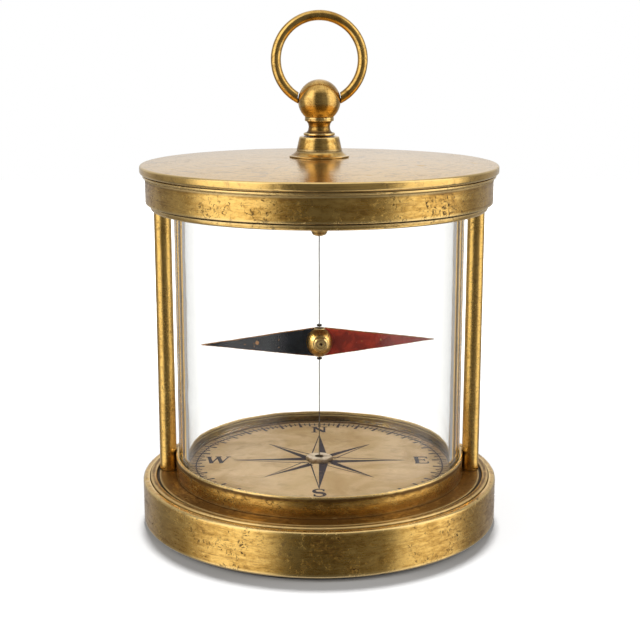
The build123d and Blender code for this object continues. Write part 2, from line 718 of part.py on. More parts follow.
def suspension_chuck():
    """Rounded chuck screwed on the stem; the thread comes out of its mouth."""
    bottom = stem_end - CHUCK_NOSE
    top = bottom + CHUCK_HEIGHT
    waist = CHUCK_RADIUS - EDGE_ROUND
    nose_top = bottom + CHUCK_NOSE
    bore = STEM_RADIUS + SCREW_CLEARANCE
    nose = ThreePointArc(
        (CHUCK_MOUTH_RADIUS, bottom),
        (CHUCK_RADIUS * 0.8, bottom + CHUCK_NOSE * 0.35),
        (CHUCK_RADIUS, nose_top),
    )
    body = Polyline(
        (CHUCK_RADIUS, nose_top),
        (CHUCK_RADIUS, nose_top + CHUCK_NOSE / 2),
        (waist, nose_top + CHUCK_NOSE / 2 + EDGE_ROUND),
        (waist, top),
        (bore, top),
        (bore, stem_end),
        (CHUCK_MOUTH_RADIUS, stem_end),
        (CHUCK_MOUTH_RADIUS, bottom),
    )
    return turned(nose, body)


def suspension_thread():
    """Taut thread from the stem, through the needle's hub, to the anchor stud."""
    return disc(THREAD_RADIUS, stud_top - THREAD_GRIP, stem_end + THREAD_GRIP)


def stop_bead(height):
    """Small bead crimped on the thread."""
    bead = disc(STOP_BEAD_RADIUS, height, height + STOP_BEAD_HEIGHT)
    bead = chamfer(bead.edges().filter_by(GeomType.CIRCLE), STOP_BEAD_HEIGHT / 4)
    return bead - disc(THREAD_RADIUS + SCREW_CLEARANCE / 2, height, height + STOP_BEAD_HEIGHT)


def upper_stop_bead():
    """Bead just above the needle's hub."""
    return stop_bead(hub_centre + HUB_COLLAR_REACH + MOVING_GAP)


def lower_stop_bead():
    """Bead just under the needle's hub."""
    return stop_bead(hub_centre - HUB_COLLAR_REACH - MOVING_GAP - STOP_BEAD_HEIGHT)


def anchor_stud():
    """Stud through card, dial plate and deck that holds the thread's lower end."""
    stud = disc(STUD_RADIUS, lock_nut_bottom - SHANK_PROUD, stud_top)
    return stud - disc(THREAD_RADIUS + SCREW_CLEARANCE, stud_top - THREAD_GRIP, stud_top)


def anchor_nut():
    """Hexagonal nut on the card."""
    nut = hex_nut(ANCHOR_NUT_RADIUS, ANCHOR_NUT_HEIGHT, STUD_RADIUS + SCREW_CLEARANCE)
    return Pos(0, 0, card_top) * nut


def lock_nut():
    """Hexagonal nut under the deck."""
    nut = hex_nut(LOCK_NUT_RADIUS, LOCK_NUT_HEIGHT, STUD_RADIUS + SCREW_CLEARANCE)
    return Pos(0, 0, deck_bottom) * (Rot(180, 0, 0) * nut)


# --- Needle ---------------------------------------------------------------------------

NEEDLE_PLACE = Pos(0, 0, hub_centre) * Rot(0, 0, NEEDLE_YAW)


def needle_hub():
    """Bead bored for the thread, slotted for both arms and faced for two screws."""
    end = HUB_COLLAR_RADIUS / HUB_RADIUS
    end_height = HUB_HALF_HEIGHT * (1 - end ** 2) ** 0.5
    bead = Sphere(HUB_RADIUS)
    bead = scale(bead, (1, 1, HUB_HALF_HEIGHT / HUB_RADIUS))
    bead &= Cylinder(HUB_RADIUS * 2, end_height * 2)
    hub = bead + disc(HUB_COLLAR_RADIUS, -HUB_COLLAR_REACH, HUB_COLLAR_REACH)
    slot_length = HUB_RADIUS * 2
    slot_width = NEEDLE_THICKNESS + 2 * SCREW_CLEARANCE
    slot_start = NEEDLE_ROOT - SCREW_CLEARANCE
    for side in (-1, 1):
        middle = side * (slot_start + slot_length / 2)
        hub -= Pos(middle, 0, 0) * Box(slot_length, slot_width, slot_length * 2)
        facing = HUB_FLAT + HUB_RADIUS / 2
        hub -= Pos(0, side * facing, 0) * Box(slot_length, HUB_RADIUS, slot_length)
        drill = disc(CLAMP_SHANK_RADIUS + SCREW_CLEARANCE, CLAMP_STOP, HUB_RADIUS)
        hub -= Rot(side * -90, 0, 0) * drill
    hub -= disc(hub_bore, -HUB_COLLAR_REACH, HUB_COLLAR_REACH)
    return NEEDLE_PLACE * hub


def needle_arm(side):
    """Flat tapering arm let into one slot of the hub, side = -1 or +1 along X."""
    root_height = NEEDLE_HALF_HEIGHT * (1 - NEEDLE_ROOT / NEEDLE_REACH)
    outline = Polyline(
        (side * NEEDLE_ROOT, -root_height),
        (side * NEEDLE_REACH, -NEEDLE_TIP),
        (side * NEEDLE_REACH, NEEDLE_TIP),
        (side * NEEDLE_ROOT, root_height),
        close=True,
    )
    blade = extrude(Plane.XZ * make_face(outline), NEEDLE_THICKNESS / 2, both=True)
    return NEEDLE_PLACE * blade


def black_arm():
    """Arm on the -X side."""
    return needle_arm(-1)


def red_arm():
    """Arm on the +X side."""
    return needle_arm(1)


def clamp_screw(side):
    """Round-headed screw in a flat of the hub, side = -1 front or +1 back."""
    head = disc(CLAMP_HEAD_RADIUS, HUB_FLAT, HUB_FLAT + CLAMP_HEAD_HEIGHT)
    rim = at_radius(head.edges(), CLAMP_HEAD_RADIUS, HUB_FLAT + CLAMP_HEAD_HEIGHT)
    head = fillet(rim, CLAMP_HEAD_HEIGHT / 2)
    piece = head + disc(CLAMP_SHANK_RADIUS, CLAMP_STOP + SCREW_CLEARANCE, HUB_FLAT)
    dimple = Pos(0, 0, HUB_FLAT + CLAMP_HEAD_HEIGHT) * Sphere(CLAMP_DIMPLE_RADIUS)
    return NEEDLE_PLACE * (Rot(side * -90, 0, 0) * (piece - dimple))


def front_clamp_screw():
    """Clamp screw on the front of the hub."""
    return clamp_screw(-1)


def rear_clamp_screw():
    """Clamp screw on the back of the hub."""
    return clamp_screw(1)


NODES = (
    felt_pad, bottom_plate, bottom_screws, base_drum, base_deck, deck_screws,
    left_post, right_post, lower_post_nuts, upper_post_nuts,
    dial_bezel, bezel_screws, dial_spacer, dial_plate, compass_card,
    lower_gasket, glass_cylinder, upper_gasket,
    cap_ring, bridge_plate, bridge_screws, lid,
    finial_socket, swivel_finial, shank_nut, bow_ring,
    suspension_stem, stem_nut, suspension_chuck, suspension_thread,
    upper_stop_bead, lower_stop_bead, anchor_stud, anchor_nut, lock_nut,
    needle_hub, black_arm, red_arm, front_clamp_screw, rear_clamp_screw,
)

os.makedirs("parts", exist_ok=True)
for make_piece in NODES:
    export_step(make_piece(), "parts/" + make_piece.__name__ + ".step")
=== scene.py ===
import json
import math
import bmesh
import bpy
import numpy as np
from mathutils import Matrix, Vector


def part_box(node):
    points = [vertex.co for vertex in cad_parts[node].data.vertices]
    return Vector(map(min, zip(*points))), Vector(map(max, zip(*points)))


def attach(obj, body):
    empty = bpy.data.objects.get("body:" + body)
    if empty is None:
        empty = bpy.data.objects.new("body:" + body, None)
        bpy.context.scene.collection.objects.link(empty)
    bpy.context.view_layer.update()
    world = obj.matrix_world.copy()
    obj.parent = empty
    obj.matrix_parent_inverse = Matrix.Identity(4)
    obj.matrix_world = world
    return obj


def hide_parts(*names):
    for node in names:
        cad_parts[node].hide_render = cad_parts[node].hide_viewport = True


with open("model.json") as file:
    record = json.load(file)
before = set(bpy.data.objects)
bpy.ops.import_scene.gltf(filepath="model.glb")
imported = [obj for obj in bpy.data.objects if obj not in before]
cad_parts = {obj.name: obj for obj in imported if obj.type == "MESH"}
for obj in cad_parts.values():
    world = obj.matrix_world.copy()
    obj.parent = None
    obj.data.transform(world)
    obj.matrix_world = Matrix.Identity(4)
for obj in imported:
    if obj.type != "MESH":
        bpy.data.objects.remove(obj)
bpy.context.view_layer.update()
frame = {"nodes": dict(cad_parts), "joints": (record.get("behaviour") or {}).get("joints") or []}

MM = 0.001
rng = np.random.default_rng(11)


# --- Sizes read from the frame, in millimetres ---

def heights(node):
    """Lowest and highest point of a CAD node."""
    low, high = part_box(node)
    return low.z / MM, high.z / MM


def reach(node):
    """Largest radius of a CAD node about the vertical axis."""
    low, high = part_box(node)
    return max(high.x, high.y, -low.x, -low.y) / MM


def extent(node):
    """Largest radius, lowest point and highest point of a CAD node."""
    return reach(node), *heights(node)


# --- Mesh building ---

def add_object(name, data):
    """A new object, placed in the scene."""
    piece = bpy.data.objects.new(name, data)
    bpy.context.scene.collection.objects.link(piece)
    return piece


def finish_mesh(name, verts, faces, body, material, node=None, layers=(), place=None):
    """A smooth-shaded piece, given in millimetres, that rides on its body."""
    mesh = bpy.data.meshes.new(name)
    mesh.from_pydata((np.asarray(verts) * MM).tolist(), [], faces)
    for key, values in layers:
        layer = mesh.attributes.new(key, "FLOAT", "POINT")
        layer.data.foreach_set("value", np.asarray(values, np.float32))
    mesh.materials.append(material)
    mesh.polygons.foreach_set("use_smooth", [True] * len(mesh.polygons))
    tidy = bmesh.new()
    tidy.from_mesh(mesh)
    bmesh.ops.recalc_face_normals(tidy, faces=tidy.faces)
    tidy.to_mesh(mesh)
    tidy.free()
    mesh.set_sharp_from_angle(angle=math.radians(40))
    piece = add_object(name, mesh)
    if place is not None:
        piece.matrix_world = place
    piece.modifiers.new("normals", "WEIGHTED_NORMAL").keep_sharp = True
    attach(piece, body)
    if node:
        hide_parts(node)
    return piece


def tube(rows, sides, base=0):
    """Faces of a closed tube: rows of vertices, each with the same number of sides."""
    faces = []
    for row in range(rows - 1):
        here, there = base + row * sides, base + (row + 1) * sides
        for c in range(sides):
            d = (c + 1) % sides
            faces.append((here + c, here + d, there + d, there + c))
    for first in (base, base + (rows - 1) * sides):
        faces.append(tuple(range(first, first + sides)))
    return faces


EDGE_WEAR = 0.35  # how far rubbed brightness, which is partly a painted highlight, runs from an edge
GRIME = 0.6  # how far grime runs from a crevice


def round_corner(before, corner, after, radius, steps=4):
    """Points of the arc that rounds one corner of an outline."""
    before, corner, after = (Vector(p) for p in (before, corner, after))
    to_before = before - corner
    to_after = after - corner
    angle = to_before.angle(to_after)
    if radius <= 0 or angle > math.pi - 0.02:
        return [tuple(corner)]
    back = min(radius / math.tan(angle / 2), 0.49 * min(to_before.length, to_after.length))
    radius = back * math.tan(angle / 2)
    to_before.normalize()
    to_after.normalize()
    start = corner + to_before * back
    end = corner + to_after * back
    centre = corner + (to_before + to_after).normalized() * (radius / math.sin(angle / 2))
    points = []
    for k in range(steps + 1):
        spoke = (start - centre).normalized().slerp((end - centre).normalized(), k / steps)
        points.append(tuple(centre + spoke * radius))
    return points


def trace(corners, step, closed):
    """Rounds and subdivides an outline of (radius, height, rounding) corners.

    Returns its points, their outward normals, and how much each lies on an edge or in a crevice."""
    count = len(corners)
    flat = [Vector(c[:2]) for c in corners]
    area = sum(flat[i - 1].cross(flat[i]) for i in range(count))
    side = 1 if area > 0 else -1
    raw = []
    for i, corner in enumerate(corners):
        if not closed and i in (0, count - 1):
            raw.append((tuple(flat[i]), 0))
            continue
        before, here, after = flat[i - 1], flat[i], flat[(i + 1) % count]
        lengths = (here - before).length * (after - here).length
        mark = side * (here - before).cross(after - here) / lengths
        arc = round_corner(before, here, after, corner[2] if len(corner) > 2 else 0)
        middle = len(arc) // 2
        raw += [(p, mark if k == middle else 0) for k, p in enumerate(arc)]
    points, marks = [], []
    for (a, mark), (b, _) in zip(raw, raw[1:] + raw[:1] if closed else raw[1:]):
        cuts = max(1, round(math.dist(a, b) / step))
        for k in range(cuts):
            points.append((a[0] + (b[0] - a[0]) * k / cuts, a[1] + (b[1] - a[1]) * k / cuts))
            marks.append(mark if k == 0 else 0)
    if not closed:
        points.append(raw[-1][0])
        marks.append(0)
    points, marks = np.array(points), np.array(marks)
    along = np.roll(points, -1, axis=0) - np.roll(points, 1, axis=0)
    if not closed:
        along[0], along[-1] = points[1] - points[0], points[-1] - points[-2]
    normals = np.stack([along[:, 1], -along[:, 0]], axis=1) * side
    normals /= np.linalg.norm(normals, axis=1)[:, None] + 1e-9
    edge, crevice = np.zeros(len(points)), np.zeros(len(points))
    for i in np.nonzero(marks)[0]:
        gap = np.hypot(*(points - points[i]).T)
        if marks[i] > 0:
            edge = np.maximum(edge, marks[i] * np.exp(-((gap / EDGE_WEAR) ** 2)))
        else:
            crevice = np.maximum(crevice, -marks[i] * np.exp(-((gap / GRIME) ** 2)))
    return points, normals, edge, crevice


def reach_of(points):
    """Largest radius of some points about the axis."""
    return np.hypot(points[:, 0], points[:, 1]).max()


def wear(points, normals, uneven, dents, size):
    """Moves points into the metal: a slight unevenness, and small shallow dents."""
    angle = np.arctan2(points[:, 1], points[:, 0])
    sway = np.zeros(len(points))
    for waves in (3, 5, 9, 17, 31):
        phase = rng.uniform(0, 2 * math.pi)
        sway += np.sin(waves * angle + points[:, 2] * waves ** 0.5 / 5 + phase) / waves ** 0.5
    push = uneven * (1 - sway / np.abs(sway).max()) / 2
    outer = np.nonzero(np.hypot(points[:, 0], points[:, 1]) > reach_of(points) * 0.6)[0]
    for middle in rng.choice(outer, dents):
        spread = size * rng.uniform(0.4, 1.3)
        gap = np.linalg.norm(points - points[middle], axis=1) / spread
        push += np.where(gap < 1, (1 - np.minimum(gap, 1) ** 2) ** 2, 0) * spread * 0.07
    return points - normals * push[:, None]


def revolved(corners, step, segments, closed, uneven=0.0, dents=0, size=1.0):
    """An outline revolved about the vertical axis: vertices, faces and wear layers."""
    outline, normals, edge, crevice = trace(corners, step, closed)
    count = len(outline)
    angles = np.arange(segments) * 2 * math.pi / segments
    ring = np.stack([np.cos(angles), np.sin(angles)], axis=1)
    verts, outward = np.empty((segments, count, 3)), np.empty((segments, count, 3))
    for filled, given in ((verts, outline), (outward, normals)):
        filled[:, :, :2] = ring[:, None, :] * given[None, :, 0, None]
        filled[:, :, 2] = given[None, :, 1]
    verts, outward = verts.reshape(-1, 3), outward.reshape(-1, 3)
    if uneven or dents:
        verts = wear(verts, outward, uneven, dents, size)
    index = np.arange(segments * count).reshape(segments, count)
    on_axis = outline[:, 0] < 1e-6
    index[:, on_axis] = index[0, on_axis]
    faces = []
    for p in range(count if closed else count - 1):
        q = (p + 1) % count
        for s in range(segments):
            t = (s + 1) % segments
            corner_list = [index[s, p], index[t, p], index[t, q], index[s, q]]
            faces.append(list(dict.fromkeys(int(c) for c in corner_list)))
    used = np.unique(index)
    place = np.zeros(index.max() + 1, int)
    place[used] = np.arange(len(used))
    faces = [[int(place[c]) for c in face] for face in faces]
    layers = [np.tile(edge, segments)[used], np.tile(crevice, segments)[used]]
    return verts[used], faces, layers


def lathe(name, corners, material, node=None, body="case", step=0.6, segments=256,
          closed=True, uneven=0.0, dents=0, size=1.0, centre=(0, 0, 0), turn=None):
    """Turned piece from an outline of (radius, height, rounding) corners."""
    verts, faces, (edge, crevice) = revolved(corners, step, segments, closed, uneven, dents, size)
    layers = [("edge", edge), ("crevice", crevice)]
    place = Matrix.Translation(Vector(centre) * MM)
    if turn is not None:
        place = place @ Matrix(turn.tolist()).to_4x4()
    return finish_mesh(name, verts, faces, body, material, node, layers, place)


# --- Shader building ---

class Shader:
    """A material's node tree, with one short method for each kind of node used here."""

    def __init__(self, name):
        self.material = bpy.data.materials.new(name)
        self.material.use_nodes = True
        self.tree = self.material.node_tree
        self.surface = self.tree.nodes["Principled BSDF"]

    def node(self, kind, **inputs):
        made = self.tree.nodes.new(kind)
        for key, value in inputs.items():
            self.feed(made, key, value)
        return made

    def feed(self, node, key, value):
        socket = node.inputs[key] if isinstance(key, int) else node.inputs[key.replace("_", " ")]
        if isinstance(value, bpy.types.NodeSocket):
            self.tree.links.new(value, socket)
        else:
            socket.default_value = value

    def set(self, **inputs):
        for key, value in inputs.items():
            self.feed(self.surface, key, value)

    def place(self):
        return self.node("ShaderNodeTexCoord").outputs["Object"]

    def operate(self, kind, operation, *values):
        made = self.tree.nodes.new(kind)
        made.operation = operation
        for key, value in enumerate(values):
            self.feed(made, key, value)
        return made

    def math(self, operation, a, b=0.0, clamp=False):
        made = self.operate("ShaderNodeMath", operation, a, b)
        made.use_clamp = clamp
        return made.outputs[0]

    def times(self, a, b, clamp=False):
        return self.math("MULTIPLY", a, b, clamp)

    def weigh(self, *parts):
        """Sum of (value, weight) pairs."""
        total = 0.0
        for value, weight in parts:
            total = self.math("ADD", self.times(value, weight), total)
        return total

    def vector(self, operation, *values, out="Vector"):
        return self.operate("ShaderNodeVectorMath", operation, *values).outputs[out]

    def noise(self, vector, scale, detail=4.0, rough=0.55, warp=0.0):
        made = self.node("ShaderNodeTexNoise", Vector=vector, Scale=scale, Detail=detail,
                         Roughness=rough, Distortion=warp)
        return made.outputs["Fac"]

    def span(self, value, low, high, to_low=0.0, to_high=1.0):
        made = self.node("ShaderNodeMapRange", Value=value)
        made.interpolation_type = "SMOOTHSTEP"
        for key, number in ((1, low), (2, high), (3, to_low), (4, to_high)):
            self.feed(made, key, number)
        return made.outputs["Result"]

    def mix(self, share, a, b):
        """A blend of two colours."""
        made = self.tree.nodes.new("ShaderNodeMix")
        made.data_type = "RGBA"
        self.feed(made, 0, share)
        self.feed(made, 6, a)
        self.feed(made, 7, b)
        return made.outputs[2]

    def number(self, share, a, b):
        """A blend of two numbers."""
        made = self.tree.nodes.new("ShaderNodeMix")
        for key, value in ((0, share), (2, a), (3, b)):
            self.feed(made, key, value)
        return made.outputs[0]

    def layer(self, name):
        made = self.tree.nodes.new("ShaderNodeAttribute")
        made.attribute_name = name
        return made.outputs["Fac"]

    def turning(self, around, across):
        """Coordinates stretched along the turning of a lathe-made surface."""
        place = self.place()
        split = self.node("ShaderNodeSeparateXYZ", Vector=place)
        flat = self.node("ShaderNodeCombineXYZ", X=split.outputs[0], Y=split.outputs[1])
        radius = self.vector("LENGTH", flat.outputs[0], out="Value")
        unit = self.vector("NORMALIZE", flat.outputs[0])
        along = self.vector("MULTIPLY", unit, (around, around, 0))
        climb = self.times(self.math("ADD", split.outputs[2], radius), across)
        rise = self.node("ShaderNodeCombineXYZ", Z=climb)
        return self.vector("ADD", along, rise.outputs[0])

    def bump(self, height, depth, strength=1.0):
        made = self.node("ShaderNodeBump", Height=height, Strength=strength, Distance=depth)
        self.set(Normal=made.outputs[0])


def colour(red, green, blue):
    """An sRGB colour, 0 to 255, as the linear values that shaders use."""
    return tuple(((c / 255 + 0.055) / 1.055) ** 2.4 for c in (red, green, blue)) + (1,)


BRASS_BRIGHT = colour(226, 183, 101)
BRASS_MID = colour(190, 146, 70)
BRASS_BROWN = colour(114, 78, 34)
# rubbed brass on edges: partly real wear, partly a painted highlight along rims and shoulders
BRASS_RUBBED_AND_HIGHLIGHT = colour(246, 216, 152)
BRASS_PIT = colour(62, 40, 18)
BRASS_DARK = colour(52, 34, 16)
BRASS_PLUM = colour(104, 78, 66)


def brass(name, around=4.0, across=2600.0, tarnish=0.0, gloss=0.17, pits=1.0, painted_shade_reach=2.2,
          bloom=0.60):
    """Aged brass: turning streaks, tarnish blotches, dark pits, bright rubbed edges that also carry a
    painted highlight, grime in crevices, and painted shade where it lies close to other parts.
    """
    s = Shader(name)
    place = s.place()
    fine = s.noise(s.turning(around, across), 1.0, 3.0, 0.6)
    streak = s.noise(s.turning(around * 0.7, across * 0.22), 1.0, 4.0, 0.6)
    mottle = s.noise(s.turning(around * 5, across * 0.45), 1.0, 6.0, 0.72, 0.4)
    cloud = s.noise(place, 70.0, 5.0, 0.6, 0.6)
    grain = s.noise(place, 2200.0, 3.0, 0.7)
    edge, crevice = s.layer("edge"), s.layer("crevice")
    age = s.weigh((cloud, 0.45), (mottle, 0.50), (streak, 0.25), (crevice, 0.28), (edge, -0.22))
    age = s.math("ADD", age, tarnish)
    dull = s.span(age, 0.52, 0.68)
    stain = s.span(age, 0.64, 0.78)
    tone = s.mix(dull, BRASS_BRIGHT, BRASS_MID)
    tone = s.mix(s.times(stain, 0.8), tone, BRASS_BROWN)
    plum = s.span(s.noise(place, 170.0, 5.0, 0.7, 1.2), bloom, bloom + 0.14)
    tone = s.mix(s.times(plum, 0.4), tone, BRASS_PLUM)
    line = s.times(s.span(fine, 0.54, 0.76), 0.55)
    tone = s.mix(line, tone, BRASS_BROWN)
    speck = s.times(s.span(grain, 0.60, 0.72), s.span(cloud, 0.42, 0.62, 0.0, 0.5))
    tone = s.mix(speck, tone, BRASS_DARK)
    fleck = s.span(s.noise(s.vector("MULTIPLY", place, (1, 1, 3)), 560.0, 5.0, 0.7), 0.5, 0.72)
    tone = s.mix(s.times(fleck, 0.42), tone, BRASS_BROWN)
    # painted shade: ambient occlusion darkens the brass wherever other parts lie close
    hollow = s.node("ShaderNodeAmbientOcclusion", Distance=painted_shade_reach * MM)
    hollow.samples = 6
    painted_shade = s.span(hollow.outputs["AO"], 0.25, 0.85, 0.75, 0.0)
    # grime in the outline's crevices, plus the painted shade from the occlusion
    grime_and_painted_shade = s.math("ADD", s.times(s.span(crevice, 0.2, 1.0), 0.8), painted_shade, True)
    tone = s.mix(grime_and_painted_shade, tone, BRASS_DARK)
    hole = s.span(s.noise(place, 560.0, 6.0, 0.75, 1.8), 0.54, 0.62)
    nest = s.span(s.noise(place, 92.0, 4.0, 0.7), 0.46, 0.58)
    pit = s.times(s.times(hole, nest), pits * 0.9)
    tone = s.mix(pit, tone, BRASS_PIT)
    # rubbed edges, lighter partly from wear and partly as a painted highlight
    tone = s.mix(s.times(edge, 0.7, True), tone, BRASS_RUBBED_AND_HIGHLIGHT)
    s.set(Base_Color=tone, Metallic=1.0, Coat_Weight=0.15, Coat_Roughness=0.12, Coat_IOR=1.45)
    rough = s.weigh((dull, 0.07), (stain, 0.12), (fine, 0.06), (pit, 0.35), (grime_and_painted_shade, 0.3))
    s.set(Roughness=s.math("ADD", rough, gloss, True))
    relief = s.weigh((fine, 0.45), (mottle, 0.8), (grain, 0.2), (pit, -1.0))
    s.bump(relief, 0.00003)
    return s.material


def clear_glass():
    """Old clear glass that lets lamps through, a little wavy and smeared."""
    s = Shader("clear_glass")
    place = s.place()
    stretched = s.vector("MULTIPLY", place, (1, 1, 0.15))
    wave = s.noise(stretched, 120.0, 2.0, 0.5)
    smear = s.span(s.noise(stretched, 260.0, 4.0, 0.6), 0.55, 0.8, 0.0, 0.02)
    s.set(Base_Color=(0.985, 0.985, 0.97, 1), Transmission_Weight=1.0, IOR=1.3, Roughness=smear)
    s.bump(wave, 0.00004, 0.6)
    lamp = s.node("ShaderNodeLightPath").outputs["Is Shadow Ray"]
    clear = s.node("ShaderNodeBsdfTransparent", Color=(0.95, 0.95, 0.93, 1))
    both = s.node("ShaderNodeMixShader", Fac=lamp)
    s.tree.links.new(s.surface.outputs[0], both.inputs[1])
    s.tree.links.new(clear.outputs[0], both.inputs[2])
    s.tree.links.new(both.outputs[0], s.tree.nodes["Material Output"].inputs["Surface"])
    return s.material


def radius_of(s):
    """Distance of a shaded point from the vertical axis, in metres."""
    return s.vector("LENGTH", s.vector("MULTIPLY", s.place(), (1, 1, 0)), out="Value")


def parchment():
    """Aged card: warm mottling, brown stains, fibres, darker towards its edge."""
    s = Shader("parchment_card")
    place = s.place()
    drawn = s.vector("MULTIPLY", place, (1, 1.5, 1))
    cloud = s.noise(place, 60.0, 5.0, 0.6, 0.8)
    wipe = s.noise(drawn, 150.0, 6.0, 0.68, 0.5)
    fibre = s.noise(s.vector("MULTIPLY", place, (1, 7, 1)), 900.0, 3.0, 0.6)
    tone = s.mix(s.span(cloud, 0.35, 0.68), colour(222, 193, 150), colour(196, 164, 118))
    tone = s.mix(s.times(s.span(wipe, 0.50, 0.70), 0.55), tone, colour(172, 140, 98))
    stain = s.span(s.noise(place, 190.0, 5.0, 0.75, 1.0), 0.60, 0.76)
    tone = s.mix(s.times(stain, 0.5), tone, colour(140, 108, 72))
    rim = s.span(radius_of(s), 31 * MM, 39 * MM)
    tone = s.mix(s.times(rim, 0.4), tone, colour(134, 104, 70))
    tone = s.mix(s.times(s.span(fibre, 0.3, 0.7), 0.18), tone, colour(120, 92, 60))
    s.set(Base_Color=tone, Roughness=s.span(cloud, 0.2, 0.8, 0.62, 0.8), Specular_IOR_Level=0.3)
    s.bump(s.math("ADD", fibre, wipe), 0.00003)
    return s.material


def ink():
    """Faded purple-grey printing ink that lets some card show."""
    s = Shader("faded_ink")
    worn = s.noise(s.place(), 800.0, 4.0, 0.7)
    tone = s.mix(s.noise(s.place(), 90.0, 3.0, 0.6), colour(56, 47, 48), colour(72, 66, 74))
    tone = s.mix(s.span(worn, 0.58, 0.72, 0.0, 0.6), tone, colour(150, 122, 92))
    s.set(Base_Color=tone, Roughness=0.7, Specular_IOR_Level=0.25)
    return s.material


def enamel(name, paint, shade, chip):
    """Old paint on sheet metal: worn patches, brown spots, bare coppery edges."""
    s = Shader(name)
    place = s.place()
    cloud = s.noise(place, 240.0, 5.0, 0.65, 0.6)
    spot = s.noise(place, 900.0, 4.0, 0.7, 0.5)
    edge = s.layer("edge")
    tone = s.mix(s.span(cloud, 0.42, 0.62), paint, shade)
    tone = s.mix(s.span(spot, 0.62, 0.72, 0.0, 0.7), tone, chip)
    worn = s.math("ADD", edge, s.times(s.math("SUBTRACT", spot, 0.5), 1.6))
    bare = s.span(worn, 0.45, 0.66)
    tone = s.mix(bare, tone, colour(186, 134, 74))
    s.set(Base_Color=tone, Metallic=s.times(bare, 0.85))
    s.set(Roughness=s.span(spot, 0.3, 0.8, 0.55, 0.75), Specular_IOR_Level=0.15)
    s.bump(s.math("SUBTRACT", s.times(cloud, 0.5), bare), 0.00001)
    return s.material


def fibrous(name, light, dark, scale):
    """Matt felt, cork or silk."""
    s = Shader(name)
    place = s.place()
    fuzz = s.noise(place, scale, 6.0, 0.75, 1.5)
    cloud = s.noise(place, scale * 0.12, 3.0, 0.6)
    tone = s.mix(s.span(fuzz, 0.35, 0.65), dark, light)
    tone = s.mix(s.times(cloud, 0.4), tone, dark)
    s.set(Base_Color=tone, Roughness=0.95, Specular_IOR_Level=0.15, Sheen_Weight=0.3)
    s.bump(fuzz, 0.00015)
    return s.material


def heat_coloured(name, deep, rubbed):
    """Heat-coloured metal, rubbed paler in places."""
    s = Shader(name)
    cloud = s.noise(s.place(), 900.0, 4.0, 0.6)
    tone = s.mix(s.span(cloud, 0.45, 0.7), deep, rubbed)
    s.set(Base_Color=tone, Metallic=1.0, Roughness=s.span(cloud, 0.3, 0.7, 0.25, 0.45))
    s.bump(cloud, 0.00002)
    return s.material


def nut_metal():
    """Pale worn nickel with a brown bloom, and painted shade where other parts lie close."""
    s = Shader("pale_nickel")
    cloud = s.noise(s.place(), 700.0, 5.0, 0.65, 0.6)
    tone = s.mix(s.span(cloud, 0.45, 0.7), colour(224, 204, 174), colour(168, 142, 112))
    # painted shade: ambient occlusion darkens the nut's lower part where it meets other parts
    hollow = s.node("ShaderNodeAmbientOcclusion", Distance=2.4 * MM)
    painted_shade = s.span(hollow.outputs["AO"], 0.35, 0.9, 0.85, 0.0)
    tone = s.mix(painted_shade, tone, colour(58, 40, 26))
    s.set(Base_Color=tone, Metallic=0.9, Roughness=s.span(cloud, 0.3, 0.7, 0.28, 0.5))
    s.bump(cloud, 0.00003)
    return s.material


BRASS = brass("turned_brass")
BRASS_SMALL = brass("finial_brass", around=1.3, across=3200.0, tarnish=0.01, gloss=0.09, pits=0.8)
BRASS_INSIDE = brass("inside_brass", tarnish=0.10, gloss=0.28)
BRASS_POST = brass("post_brass", tarnish=-0.08, gloss=0.2, pits=0.4, painted_shade_reach=0.7)
BRASS_OLD = brass("tarnished_brass", tarnish=-0.06, gloss=0.2, pits=0.4, painted_shade_reach=0.7)
BRASS_DECK = brass("deck_brass", tarnish=0.17, gloss=0.34, painted_shade_reach=1.2)
BRASS_LID = brass("lid_brass", tarnish=-0.10, gloss=0.14, pits=0.15, bloom=0.54)
BRASS_BOW = brass("bow_brass", around=1.0, across=500.0, tarnish=0.0, gloss=0.12, pits=0.5)
BLUED = heat_coloured("blued_steel", colour(52, 58, 82), colour(110, 106, 104))
BROWNED = heat_coloured("browned_steel", colour(58, 42, 26), colour(96, 74, 46))
HUB = brass("hub_brass", around=1.0, across=3600.0, tarnish=0.10, gloss=0.2, pits=0.5, painted_shade_reach=0.4)
GLASS = clear_glass()
CARD = parchment()
INK = ink()
BLACK = enamel("black_enamel", colour(30, 32, 37), colour(21, 23, 27), colour(70, 50, 34))
RED = enamel("red_enamel", colour(166, 54, 34), colour(124, 38, 24), colour(76, 38, 24))
# felt pad under the base: a real pad, made charcoal so that it also stands as painted contact shadow
# under the drum
DARK_FELT_AND_SHADOW = fibrous("charcoal_felt_and_shadow", colour(66, 66, 64), colour(36, 36, 36), 1600.0)
CORK = fibrous("cork", colour(126, 96, 62), colour(70, 50, 32), 900.0)
SILK = fibrous("silk", colour(132, 116, 94), colour(88, 74, 58), 2600.0)
NICKEL = nut_metal()


# --- Base ---

EDGE_ROUND = 0.3
FINE = 640  # segments round the large pieces
FIT = 0.1  # gap round a piece that is seated
RUNNING = 0.25  # gap round a piece that turns
GLASS_WALL = 2.6
EIGHTHS = [k / 8 for k in range(9)]


def felt_pad():
    # the dark felt pad also serves as painted shadow under the drum
    radius, low, high = extent("felt_pad")
    outline = [(0, low), (radius, low, 0.3), (radius, high, 0.2), (0, high)]
    lathe("felt", outline, DARK_FELT_AND_SHADOW, "felt_pad", step=0.5, segments=480, closed=False,
          uneven=0.25, dents=90, size=1.6)


